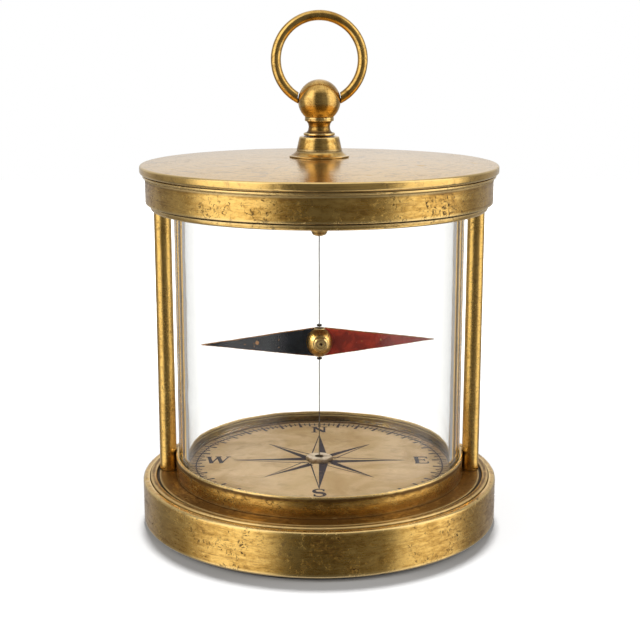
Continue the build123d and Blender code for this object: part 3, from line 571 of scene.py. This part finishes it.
def base_drum():
    """Drum with its rounded shoulder; the ledges inside hold the deck and bottom plate."""
    radius, low, high = extent("base_drum")
    seat = reach("base_deck") + FIT
    inside = reach("bottom_plate") + FIT
    ledge = inside - 3.2
    deck_low = heights("base_deck")[0]
    plate_top = heights("bottom_plate")[1]
    outline = [
        (inside, low), (radius - 0.6, low, 0.1), (radius, low + 0.6, 0.4),
        (radius, high, 0.8), (seat, high, 0.25), (seat, deck_low), (ledge, deck_low),
        (ledge, plate_top), (inside, plate_top),
    ]
    lathe("drum", outline, BRASS, "base_drum", step=0.5, segments=FINE,
          uneven=0.04, dents=70, size=1.4)


def base_deck():
    """Deck with a groove and a half-round ridge at its edge."""
    radius, low, high = extent("base_deck")
    deck_top = heights("dial_bezel")[0]
    inner = radius - 1.8
    flat = inner - 0.8
    foot = deck_top - 0.5
    bore = reach("anchor_stud") + 0.05
    outline = [
        (bore, low), (radius, low), (radius, foot, 0.05), (radius, high, 0.7),
        (inner, high, 0.45), (inner, foot, 0.05), (flat, foot, 0.05), (flat, deck_top, 0.12),
        (bore, deck_top),
    ]
    lathe("deck", outline, BRASS_DECK, "base_deck", step=0.45, segments=FINE,
          uneven=0.02, dents=40)


def posts():
    """Two turned posts; the left one has tarnished darker."""
    for side, metal in (("left", BRASS_OLD), ("right", BRASS_POST)):
        node = side + "_post"
        low, high = heights(node)
        near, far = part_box(node)
        middle = (near.x + far.x) / 2 / MM
        radius = (far.x - near.x) / 2 / MM
        bottom, top = heights("dial_bezel")[0], heights("cap_ring")[0]
        shank = radius - 0.85
        outline = [
            (0, low), (shank, low, 0.2), (shank, bottom), (radius, bottom, 0.2),
            (radius, top, 0.2), (shank, top), (shank, high, 0.2), (0, high),
        ]
        lathe("post_" + side, outline, metal, node, step=0.5, segments=72, closed=False,
              uneven=0.03, dents=26, size=0.9, centre=(middle, 0, 0))


def dial_bezel():
    radius, low, high = extent("dial_bezel")
    seat = heights("dial_plate")[0]
    bore = reach("dial_plate") + FIT
    ledge = bore - 4.8
    groove, groove_top, groove_low = bore + 0.35, high - 0.7, high - 1.05
    outline = [
        (ledge, low), (radius, low, 0.1), (radius, high, 0.28), (bore, high, 0.16),
        (bore, groove_top, 0.06), (groove, groove_top), (groove, groove_low),
        (bore, groove_low, 0.06), (bore, seat), (ledge, seat),
    ]
    lathe("bezel", outline, BRASS, "dial_bezel", step=0.4, segments=FINE,
          uneven=0.02, dents=60, size=0.8)


# --- Cap ---

def cap_ring():
    """Cap: rounded step, groove, drum, thin lip, and the web that the posts hold."""
    lip = reach("cap_ring")
    drum = lip - 0.65
    step_radius = drum - 1.35
    low, high = heights("cap_ring")
    seat = reach("glass_cylinder") + FIT
    web_top = heights("bridge_plate")[0]
    web_low = low + 3.0
    web_bore = seat - 4.8
    cavity = reach("lid") - 5.5
    groove, groove_low, groove_top = step_radius - 0.45, low + 1.4, low + 1.85
    neck, neck_low, lip_low = drum - 0.15, high - 0.95, high - 0.7
    outline = [
        (seat, web_low), (seat, low, 0.1), (step_radius, low, 0.7),
        (step_radius, groove_low, 0.1), (groove, groove_low), (groove, groove_top),
        (drum, groove_top, 0.28), (drum, neck_low, 0.12), (neck, neck_low),
        (neck, lip_low), (lip, lip_low, 0.28), (lip, high, 0.28),
        (cavity, high), (cavity, web_top), (web_bore, web_top), (web_bore, web_low),
    ]
    lathe("cap", outline, BRASS, "cap_ring", step=0.5, segments=FINE,
          uneven=0.04, dents=70, size=1.2)


def lid():
    """Domed lid with a full-round rim and a register ring below."""
    radius, low, high = extent("lid")
    cap_top = heights("cap_ring")[1]
    rim_low = cap_top + 0.25
    rim_top = rim_low + 2.4
    rim_round = 1.2
    seat = reach("finial_socket") + EDGE_ROUND
    rise = high - rim_top
    inside = radius - rim_round
    crown = [(seat + (inside - seat) * share, high - rise * share ** 2) for share in EIGHTHS]
    land = reach("cap_ring") - 0.7
    register = radius - 5.6
    hollow, under = register - 1.45, high - 2.2
    bore = seat - 5.05
    outline = crown + [
        (radius, rim_top - 0.04, rim_round), (radius, rim_low, rim_round), (land, rim_low),
        (land, cap_top), (register, cap_top), (register, low), (hollow, low),
        (hollow, rim_low), (bore + 4.8, under), (bore, under), (bore, high),
    ]
    lathe("lid_dome", outline, BRASS_LID, "lid", step=0.7, segments=FINE,
          uneven=0.05, dents=46, size=1.6)


def finial_socket():
    """Flared foot and tapered cup, with the spigot that passes through the lid."""
    foot = reach("finial_socket") - 0.5
    low, high = heights("finial_socket")
    seat = heights("lid")[1]
    flare = 1.94
    neck = foot - flare
    groove = neck - 0.25
    spigot = foot - 4.3
    foot_top = seat + 1.65
    sweep = [(foot - flare * share, foot_top - 1.25 * (1 - share ** 1.7)) for share in EIGHTHS]
    bore = 1.55
    pocket = reach("shank_nut") + RUNNING
    pocket_top = heights("shank_nut")[1] + RUNNING
    outline = [
        (bore, pocket_top), (pocket, pocket_top), (pocket, low), (spigot, low, 0.2),
        (spigot, seat), (foot, seat, 0.2),
    ]
    outline += sweep + [
        (groove, foot_top), (groove, foot_top + 0.2), (neck, foot_top + 0.2, 0.1),
        (foot - 2.8, high, 0.4), (bore, high),
    ]
    lathe("socket", outline, BRASS_SMALL, "finial_socket", step=0.25, segments=192,
          uneven=0.02, dents=14, size=0.6)


def ball_centre():
    """Height of the ball's centre, which is the bow's hinge."""
    hinge = [j for j in frame["joints"] if j["name"] == "bow_hinge"][0]
    return hinge["pos_m"][2] / MM


def swivel_finial():
    """Beaded collars, waisted neck and ball."""
    low, high = heights("swivel_finial")
    centre = ball_centre()
    ball = high - centre
    start = heights("finial_socket")[1] + RUNNING
    collar_top = centre - (ball ** 2 - 4.05 ** 2) ** 0.5
    neck_top = collar_top - 1.2
    outline = [
        (0, low), (1.5, low, 0.2), (1.5, start), (4.4, start, 0.36), (4.4, start + 0.8, 0.36),
        (3.6, start + 0.8), (3.15, start + 1.4, 0.8), (2.95, start + 2.4, 1.0),
        (3.15, start + 3.3, 0.8), (3.6, neck_top), (4.05, neck_top, 0.5),
        (4.05, collar_top, 0.5),
    ]
    first = math.acos((centre - collar_top) / ball) - 0.06
    for k in range(25):
        turn = first + (math.pi - first) * k / 24
        outline.append((ball * math.sin(turn), centre - ball * math.cos(turn)))
    outline[-1] = (0, high)
    lathe("finial", outline, BRASS_SMALL, "swivel_finial", body="finial", step=0.25,
          segments=192, closed=False, uneven=0.03, dents=22, size=0.7)


def bow_ring():
    """Wire bow swept round its ring, its ends hollowed to the ball, with pivot pins."""
    low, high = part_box("bow_ring")
    wire = (high.y - low.y) / 2 / MM
    ring = (high.x - low.x) / 2 / MM - wire
    middle = high.z / MM - ring - wire
    hinge = ball_centre()
    drop = middle - hinge
    trim = heights("swivel_finial")[1] - hinge + RUNNING
    sides, along = 40, 260
    around = np.arange(sides) * 2 * math.pi / sides
    fibre = ring + wire * np.cos(around)
    depth = wire * np.sin(around)
    start = np.arcsin((trim ** 2 - fibre ** 2 - depth ** 2 - drop ** 2) / (2 * fibre * drop))
    rows = []
    for k in range(along + 1):
        turn = start + (math.pi - 2 * start) * k / along
        rows.append(np.stack([fibre * np.cos(turn), depth, drop + fibre * np.sin(turn)], axis=1))
    pin = 0.7
    for side in (1, -1):
        circle = np.stack([np.zeros(sides), pin * np.sin(around), -pin * np.cos(around)], axis=1)
        rim = rows[0] if side == 1 else rows[-1]
        ends = []
        for share in (0.75, 0.5, 0.25, 0.0):
            loop = circle + (rim - circle) * share
            loop[:, 0] = side * np.sqrt(trim ** 2 - loop[:, 1] ** 2 - loop[:, 2] ** 2)
            ends.append(loop)
        for inset, size in ((2.1, 1.0), (2.0, 0.85)):
            loop = circle * size
            loop[:, 0] = side * inset
            ends.append(loop)
        rows = ends[::-1] + rows if side == 1 else rows + ends
    verts = np.concatenate(rows)
    angle = np.arctan2(verts[:, 2] - drop, verts[:, 0])
    sway = sum(np.sin(w * angle + rng.uniform(0, 6)) for w in (3, 7, 13, 29)) / 4
    axis = np.stack([ring * np.cos(angle), np.zeros(len(verts)), drop + ring * np.sin(angle)], axis=1)
    on_wire = np.linalg.norm(verts - axis, axis=1) > wire * 0.98
    verts = np.where(on_wire[:, None], axis + (verts - axis) * (0.985 + 0.012 * sway)[:, None], verts)
    verts[:, 2] += hinge
    finish_mesh("bow", verts, tube(len(rows), sides), "bow", BRASS_BOW, "bow_ring")


# --- Glass and suspension ---

def glass_cylinder():
    radius, low, high = extent("glass_cylinder")
    bore = radius - GLASS_WALL
    outline = [(bore, low, 0.25), (radius, low, 0.25), (radius, high, 0.25), (bore, high, 0.25)]
    lathe("glass", outline, GLASS, "glass_cylinder", step=1.5, segments=512, uneven=0.02)


def gaskets():
    """Cork rings at both ends of the glass."""
    for node in ("lower_gasket", "upper_gasket"):
        radius, low, high = extent(node)
        bore = radius - GLASS_WALL
        outline = [(bore, low, 0.1), (radius, low, 0.1), (radius, high, 0.1), (bore, high, 0.1)]
        lathe(node + "_ring", outline, CORK, node, step=0.3, segments=480, uneven=0.05,
              dents=40, size=0.5)


def suspension_chuck():
    """Rounded chuck with a narrower waist and a mouth for the thread."""
    radius, low, high = extent("suspension_chuck")
    mouth, bore = 0.7, 1.45
    waist, shoulder = radius - 0.3, low + 1.5
    outline = [
        (mouth, shoulder), (mouth, low, 0.1), (radius * 0.8, low + 0.45, 0.5),
        (radius, shoulder, 0.3), (radius, low + 2.3, 0.15), (waist, low + 2.55),
        (waist, high, 0.15), (bore, high), (bore, shoulder),
    ]
    lathe("chuck", outline, BRASS_INSIDE, "suspension_chuck", step=0.15, segments=96)


def thread():
    """Silk thread laid up from three strands."""
    radius, low, high = extent("suspension_thread")
    strand = radius * 0.5
    pitch, sides = 1.1, 6
    steps = int((high - low) / pitch * 10)
    verts, faces = [], []
    for lay in range(3):
        base = len(verts)
        for k in range(steps + 1):
            height = low + (high - low) * k / steps
            turn = 2 * math.pi * (height / pitch + lay / 3)
            for c in range(sides):
                around = 2 * math.pi * c / sides
                out = strand + strand * math.cos(around)
                tilt = strand * math.sin(around)
                x = out * math.cos(turn) - tilt * math.sin(turn)
                y = out * math.sin(turn) + tilt * math.cos(turn)
                verts.append((x, y, height))
        faces += tube(steps + 1, sides, base)
    finish_mesh("silk_thread", verts, faces, "case", SILK, "suspension_thread")


def small_turnings():
    """Stop beads on the thread, and the recessed end of the anchor stud."""
    for node in ("upper_stop_bead", "lower_stop_bead"):
        radius, low, high = extent(node)
        bore = 0.19
        outline = [(bore, low, 0.05), (radius, low, 0.2), (radius, high, 0.2), (bore, high, 0.05)]
        lathe(node + "_turned", outline, BROWNED, node, step=0.1, segments=40)
    radius, low, high = extent("anchor_stud")
    outline = [(0, low), (radius, low, 0.2), (radius, high, 0.25), (0.3, high, 0.1), (0, high - 0.4)]
    lathe("stud", outline, BROWNED, "anchor_stud", step=0.15, segments=64, closed=False)


# --- Card ---

def compass_card():
    radius, low, high = extent("compass_card")
    bore = reach("anchor_stud") + 0.05
    outline = [(bore, low), (radius, low), (radius, high), (bore, high)]
    lathe("card", outline, CARD, "compass_card", step=0.9, segments=400)


SCALE_RADIUS = 36.0
CARDINAL = (25.0, 4.1, 38, 0.0)  # tip, notch, the notch's bearing from the tip, start
DIAGONAL = (21.6, 5.0, 24, 4.3)
LETTER_HEIGHT = 5.9
LETTER_STRETCH = 1.05
# strokes of each capital, as start, end and width, in a box one unit high
LETTERS = {
    "N": [((-0.27, -0.46), (-0.27, 0.46), 0.12), ((0.27, -0.46), (0.27, 0.46), 0.12),
          ((-0.30, 0.46), (0.27, -0.44), 0.22), ((-0.42, 0.46), (-0.14, 0.46), 0.10),
          ((0.12, 0.46), (0.42, 0.46), 0.10), ((-0.42, -0.46), (-0.12, -0.46), 0.10)],
    "S": [((0.20, 0.20), (0.20, 0.46), 0.09), ((-0.22, -0.20), (-0.22, -0.46), 0.09)],
    "E": [((-0.20, -0.46), (-0.20, 0.46), 0.22), ((-0.33, 0.45), (0.34, 0.45), 0.11),
          ((-0.33, -0.45), (0.34, -0.45), 0.11), ((-0.14, 0.02), (0.20, 0.02), 0.11),
          ((0.33, 0.46), (0.33, 0.24), 0.08), ((0.33, -0.46), (0.35, -0.22), 0.08),
          ((0.20, -0.11), (0.20, 0.15), 0.06)],
    "W": [((-0.50, 0.46), (-0.26, -0.46), 0.21), ((-0.26, -0.46), (-0.02, 0.46), 0.09),
          ((-0.04, 0.46), (0.22, -0.46), 0.21), ((0.22, -0.46), (0.48, 0.46), 0.09),
          ((-0.66, 0.46), (-0.34, 0.46), 0.09), ((-0.18, 0.46), (0.12, 0.46), 0.09),
          ((0.34, 0.46), (0.62, 0.46), 0.09)],
}


class Print:
    """Ink figures gathered as thin slabs just above the card."""

    def __init__(self):
        self.verts = []
        self.faces = []
        self.bottom = heights("compass_card")[1] + 0.004

    def strip(self, left, right):
        """A ribbon between two lines with the same number of points."""
        base, count = len(self.verts), len(left)
        top = self.bottom + 0.022 + 0.012 * rng.random()
        for level in (self.bottom, top):
            self.verts += [(x, y, level) for x, y in list(left) + list(right)]
        up = 2 * count
        for k in range(count - 1):
            a, b = base + k, base + k + 1
            c, d = b + count, a + count
            self.faces += [(a, b, c, d), (a + up, b + up, c + up, d + up)]
            self.faces += [(a, b, b + up, a + up), (d, c, c + up, d + up)]
        for k in (0, count - 1):
            a, d = base + k, base + k + count
            self.faces.append((a, d, d + up, a + up))

    def line(self, points, widths):
        """A pen line through points, with a width at each."""
        path = np.array(points, float)
        along = np.gradient(path, axis=0)
        along /= np.linalg.norm(along, axis=1)[:, None] + 1e-9
        across = np.stack([-along[:, 1], along[:, 0]], axis=1) * np.array(widths)[:, None] / 2
        self.strip((path + across).tolist(), (path - across).tolist())

    def bar(self, start, end, first, last=None):
        """A straight pen stroke, with a little waver in its width."""
        last = first if last is None else last
        path = [[start[i] + (end[i] - start[i]) * k / 4 for i in (0, 1)] for k in range(5)]
        widths = [(first + (last - first) * k / 4) * rng.uniform(0.86, 1.0) for k in range(5)]
        self.line(path, widths)


def polar(radius, bearing):
    """A point at a compass bearing, in degrees clockwise from north (+Y)."""
    turn = math.radians(bearing)
    return radius * math.sin(turn), radius * math.cos(turn)


def scale_point(radius, bearing):
    """A point of the scale, whose print has drawn in a little on its south side."""
    x, y = polar(radius, bearing)
    return x, y if y > 0 else y * 0.968


def scale_ring(ink):
    """Thin scale circle crossed by 2.5 degree ticks, longer every 5 and 10 degrees."""
    for first in range(0, 360, 30):
        path = [scale_point(SCALE_RADIUS, first + k) for k in range(31)]
        ink.line(path, [rng.uniform(0.34, 0.46) for _ in path])
    short = (35.0, 37.3, 0.42)
    ticks = ((33.6, 37.9, 0.76), short, (34.4, 37.7, 0.54), short)
    for k in range(144):
        bearing = k * 2.5
        inner, outer, width = ticks[k % 4]
        inner += rng.uniform(-0.2, 0.2)
        ink.bar(scale_point(inner, bearing), scale_point(outer, bearing), width * 1.25, width * 0.8)
        if k % 4 == 0:
            near, far = scale_point(inner, bearing - 0.7), scale_point(inner, bearing + 0.7)
            ink.bar(near, far, 0.42)


def rose(ink):
    """Eight-pointed rose: each point half inked and half in outline."""
    for k in (1, 3, 5, 7, 0, 2, 4, 6):
        bearing = k * 45
        tip, notch, spread, start = DIAGONAL if k % 2 else CARDINAL
        dark = 1 if k in (0, 2, 6) else -1
        ahead = polar(tip, bearing)
        side = polar(notch, bearing + dark * spread)
        other = polar(notch, bearing - dark * spread)
        root = polar(start, bearing)
        ink.strip([root, root], [side, ahead])
        middle = polar(start + (tip - start) * 0.5, bearing)
        ink.line([root, middle, ahead], [0.2, 0.18, 0.1])
        ink.line([other, ahead], [0.42, 0.24])
        ink.line([root, other], [0.3, 0.3])


def letter(ink, name, centre):
    """One bold serif capital, upright to the viewer."""
    scale = LETTER_HEIGHT

    def at(x, y):
        return centre[0] + x * scale, centre[1] + y * scale * LETTER_STRETCH

    for a, b, width in LETTERS[name]:
        ink.bar(at(*a), at(*b), width * scale)
    if name == "S":
        path, widths = [], []
        for k in range(21):
            t = k / 20
            upper = t < 0.5
            swing = math.radians(30 + 480 * t if upper else 90 - 480 * (t - 0.5))
            middle = 0.235 if upper else -0.235
            path.append(at(0.25 * math.cos(swing), middle + 0.235 * math.sin(swing)))
            widths.append(scale * (0.10 + 0.16 * math.exp(-((t - 0.5) / 0.2) ** 2)))
        ink.line(path, widths)


def card_print():
    ink = Print()
    scale_ring(ink)
    rose(ink)
    for name, bearing, radius in (("N", 0, 30.5), ("E", 90, 29.8), ("S", 180, 28.4), ("W", 270, 29.8)):
        letter(ink, name, polar(radius, bearing))
    piece = finish_mesh("card_print", ink.verts, ink.faces, "case", INK)


# --- Needle ---

def needle_frame():
    """Directions along the red arm, out of its front face, and up."""
    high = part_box("red_arm")[1]
    yaw = math.atan2(high.y, high.x)
    along = np.array((math.cos(yaw), math.sin(yaw), 0))
    front = np.array((along[1], -along[0], 0))
    return along, front, np.array((0, 0, 1))


def needle_hub():
    """Bead turned about its front-to-back axis, with a boss at each end of the thread."""
    along, front, up = needle_frame()
    low, high = heights("needle_hub")
    centre = (low + high) / 2
    radius, half, flat = 3.93, 4.25, 3.3
    opening = math.asin(flat / radius)
    outline = [(0, -flat)]
    for k in range(33):
        turn = -opening + 2 * opening * k / 32
        outline.append((radius * math.cos(turn), radius * math.sin(turn)))
    outline.append((0, flat))
    verts, faces, (edge, crevice) = revolved(outline, 0.2, 160, False, 0.02, 12, 0.5)
    verts = verts * np.array((1, half / radius, 1))
    for side in (1, -1):
        base = len(verts)
        collar = [(0.21, flat), (1.75, flat), (1.6, 4.15, 0.25), (0.21, 4.3, 0.05)]
        ring, ring_faces, (ring_edge, ring_crevice) = revolved(collar, 0.1, 48, True)
        ring = np.stack([ring[:, 0], ring[:, 2] * side, ring[:, 1]], axis=1)
        verts = np.concatenate([verts, ring])
        faces += [[c + base for c in face] for face in ring_faces]
        edge, crevice = np.append(edge, ring_edge), np.append(crevice, ring_crevice + 0.8)
    place = Matrix.Translation((0, 0, centre * MM))
    place = place @ Matrix(np.array((along, up, front)).T.tolist()).to_4x4()
    layers = [("edge", edge), ("crevice", crevice)]
    finish_mesh("hub", verts, faces, "needle", HUB, "needle_hub", layers, place)
    clamp = [
        (0, -2.6), (1.0, -2.6, 0.1), (1.0, 0), (2.0, 0.0, 0.05), (2.0, 0.62, 0.22),
        (1.62, 0.86, 0.1), (1.42, 0.86, 0.05), (1.30, 0.66, 0.05), (1.12, 0.66, 0.05),
        (1.0, 0.88, 0.06), (0.5, 0.88, 0.06), (0.42, 0.3, 0.05), (0, 0.2),
    ]
    for node, sign in (("front_clamp_screw", 1), ("rear_clamp_screw", -1)):
        turn = np.array((along, up * sign, front * sign)).T
        lathe(node + "_turned", clamp, HUB, node, body="needle", step=0.08, segments=96,
              closed=False, centre=front * flat * sign + up * centre, turn=turn)


def needle_arms():
    """Tapered sheet arms with rounded, slightly nibbled edges."""
    along, front, up = needle_frame()
    centre = sum(heights("needle_hub")) / 2
    tip_reach, root, half, tip, thick = 33.8, 1.6, 4.23, 0.12, 0.4
    long_steps, high_steps = 220, 22
    for node, side, paint in (("black_arm", -1, BLACK), ("red_arm", 1, RED)):
        grid_x = np.linspace(root, tip_reach, long_steps)
        grid_v = np.linspace(-1, 1, high_steps + 1)
        nibble = rng.uniform(0, 1, (2, long_steps)) ** 6 * 0.12
        nibble[:, :12] = 0
        ring_v = np.concatenate([grid_v, grid_v[::-1]])
        ring_y = np.repeat((1.0, -1.0), high_steps + 1)
        verts, edge = [], []
        chips = rng.uniform((0.1, -0.7, 0.15), (0.95, 0.7, 0.45), (7, 3))
        chips[0] = (0.53, 0.12, 1.1)
        for i, x in enumerate(grid_x):
            share = (x - root) / (tip_reach - root)
            height = half + (tip - half) * share
            thin = thick * (1 - 0.55 * share ** 6)
            bevel = min(0.16, height * 0.6)
            for v, y in zip(ring_v, ring_y):
                from_edge = height * (1 - abs(v))
                curl = max(0.0, 1 - from_edge / bevel)
                bite = nibble[0 if v > 0 else 1, i] if from_edge < 0.3 else 0
                z = math.copysign(max(height * abs(v) - bite, 0), v)
                out = y * thin * (1 - 0.6 * curl ** 2)
                verts.append(along * side * x + front * out + up * (z + centre))
                bare = max(0.0, 1 - from_edge / 0.4) + 0.8 * max(0.0, 1 - (tip_reach - x) / 1.6)
                for chip_x, chip_v, size in chips if y > 0 else ():
                    gap = math.hypot(x - chip_x * tip_reach, (v - chip_v) * height) / size
                    bare += 0.9 * max(0.0, 1 - gap)
                edge.append(bare)
        faces = tube(long_steps, len(ring_v))
        finish_mesh(node + "_sheet", verts, faces, "needle", paint, node, [("edge", edge)])


# --- CAD nodes that stay ---

def dress_cad_nodes():
    """Materials and broken edges for the CAD nodes that stay as they are."""
    kept = (
        (BRASS_INSIDE, ("bottom_plate", "dial_plate", "dial_spacer", "bridge_plate")),
        (BRASS_SMALL, ("suspension_stem", "stem_nut", "shank_nut", "lock_nut",
                       "lower_post_nuts", "upper_post_nuts")),
        (BLUED, ("bottom_screws", "deck_screws", "bezel_screws", "bridge_screws")),
        (NICKEL, ("anchor_nut",)),
    )
    for material, nodes in kept:
        for node in nodes:
            for spot in frame["nodes"][node].material_slots:
                spot.material = material
    bevel = frame["nodes"]["anchor_nut"].modifiers.new("broken_edges", "BEVEL")
    bevel.width = 0.12 * MM
    bevel.segments = 3
    bevel.limit_method = "ANGLE"
    bevel.harden_normals = True


# --- Stage ---

def floor():
    """Plain pale floor that the brass doesn't mirror, painted with a glow that is faint near the
    object and white further out.
    """
    size, low = 900.0 * MM, -0.02 * MM
    corners = [(-size, -size, low), (size, -size, low), (size, size, low), (-size, size, low)]
    mesh = bpy.data.meshes.new("floor")
    mesh.from_pydata(corners, [], [(0, 1, 2, 3)])
    s = Shader("pale_glowing_floor")
    s.set(Base_Color=(0.4, 0.4, 0.4, 1), Roughness=0.9, Specular_IOR_Level=0.0)
    # painted light: the floor glows, faintly near the object and fully white further out
    s.set(Emission_Color=(1, 1, 1, 1))
    s.set(Emission_Strength=s.span(radius_of(s), 0.085, 0.24, 0.04, 1.0))
    mesh.materials.append(s.material)
    piece = add_object("floor", mesh)
    piece.visible_glossy = False
    piece.visible_transmission = False


ROOM = 0.14
CEILING = 0.95
AMBIENT = 0.45
GLASS_LOSS = 0.3  # lifts the white seen through two walls of glass
BACK_PANEL = 0.12
# soft boxes, as azimuth, half width and brightness, in degrees
SOFT_BOXES = (
    (-57, 24, 1.5), (76, 22, 1.4), (-162, 32, 0.36), (158, 32, 0.30), (-98, 18, 0.22),
    (32, 16, 0.10), (103, 16, 0.15),
)


def lobe(s, direction, centre, half, strength):
    """A soft box: brightness round one azimuth of the reflected direction, in degrees."""
    turn = math.radians(centre)
    aim = (math.sin(turn), -math.cos(turn), 0)
    facing = s.vector("DOT_PRODUCT", direction, aim, out="Value")
    near, far = math.cos(math.radians(half * 0.45)), math.cos(math.radians(half * 1.5))
    return s.times(s.span(facing, far, near), strength)


class World(Shader):
    """The world's node tree, with the same node methods as a material."""

    def __init__(self):
        world = bpy.data.worlds.new("studio")
        bpy.context.scene.world = world
        world.use_nodes = True
        self.tree = world.node_tree
        self.surface = self.tree.nodes["Background"]


def studio():
    """White surroundings to the camera; soft boxes in a grey room to reflections."""
    s = World()
    view = s.node("ShaderNodeTexCoord").outputs["Generated"]
    split = s.node("ShaderNodeSeparateXYZ", Vector=view)
    flat = s.node("ShaderNodeCombineXYZ", X=split.outputs[0], Y=split.outputs[1])
    around = s.vector("NORMALIZE", flat.outputs[0])
    wall = ROOM
    for centre, half, strength in SOFT_BOXES:
        wall = s.math("ADD", wall, lobe(s, around, centre, half, strength))
    height = split.outputs[2]
    wall = s.times(wall, s.span(height, -0.55, -0.05, 0.75, 1.0))
    panel = s.times(lobe(s, around, 180, 62, BACK_PANEL), s.span(height, 0.0, 0.16))
    wall = s.math("ADD", wall, panel)
    light = s.node("ShaderNodeMapRange", Value=s.span(height, 0.66, 0.95))
    s.feed(light, 3, wall)
    s.feed(light, 4, CEILING)
    path = s.node("ShaderNodeLightPath")
    scattered = s.math("GREATER_THAN", path.outputs["Diffuse Depth"], 0.5)
    mirrored = s.math("GREATER_THAN", path.outputs["Glossy Depth"], 0.5)
    through = s.times(path.outputs["Is Transmission Ray"], GLASS_LOSS)
    seen = s.number(mirrored, s.math("ADD", through, 1.0), light.outputs["Result"])
    s.feed(s.surface, "Color", (1, 1, 1, 1))
    s.feed(s.surface, "Strength", s.number(scattered, seen, AMBIENT))


def lamp(name, place, size, power):
    """Soft area light aimed at the middle of the object."""
    data = bpy.data.lights.new(name, "AREA")
    data.shape = "DISK"
    data.size = size
    data.energy = power
    piece = add_object(name, data)
    piece.location = place
    aim = Vector((0, 0, 0.06)) - Vector(place)
    piece.rotation_euler = aim.to_track_quat("-Z", "Y").to_euler()
    piece.visible_glossy = False


def camera():
    """Camera of the photograph: straight on, looking down by twelve degrees."""
    data = bpy.data.cameras.new("camera")
    data.lens = 74.909
    data.sensor_width = 36
    data.shift_x = 0.0011
    piece = add_object("camera", data)
    piece.location = (0, -0.37307, 0.138967)
    piece.rotation_euler = (math.radians(90 - 12.1828), 0, 0)
    bpy.context.scene.camera = piece


for make in (
    felt_pad, base_drum, base_deck, posts, dial_bezel, cap_ring, lid, finial_socket,
    swivel_finial, bow_ring, glass_cylinder, gaskets, suspension_chuck, thread,
    small_turnings, compass_card, card_print, needle_hub, needle_arms, dress_cad_nodes,
    floor, studio, camera,
):
    make()
lamp("overhead", (0, 0.35, 6.0), 0.2, 650.0)
lamp("left_box", (-0.7, -0.35, 0.45), 0.5, 3.6)
lamp("right_box", (0.75, -0.1, 0.4), 0.5, 3.0)
bpy.context.scene.view_settings.view_transform = "Standard"
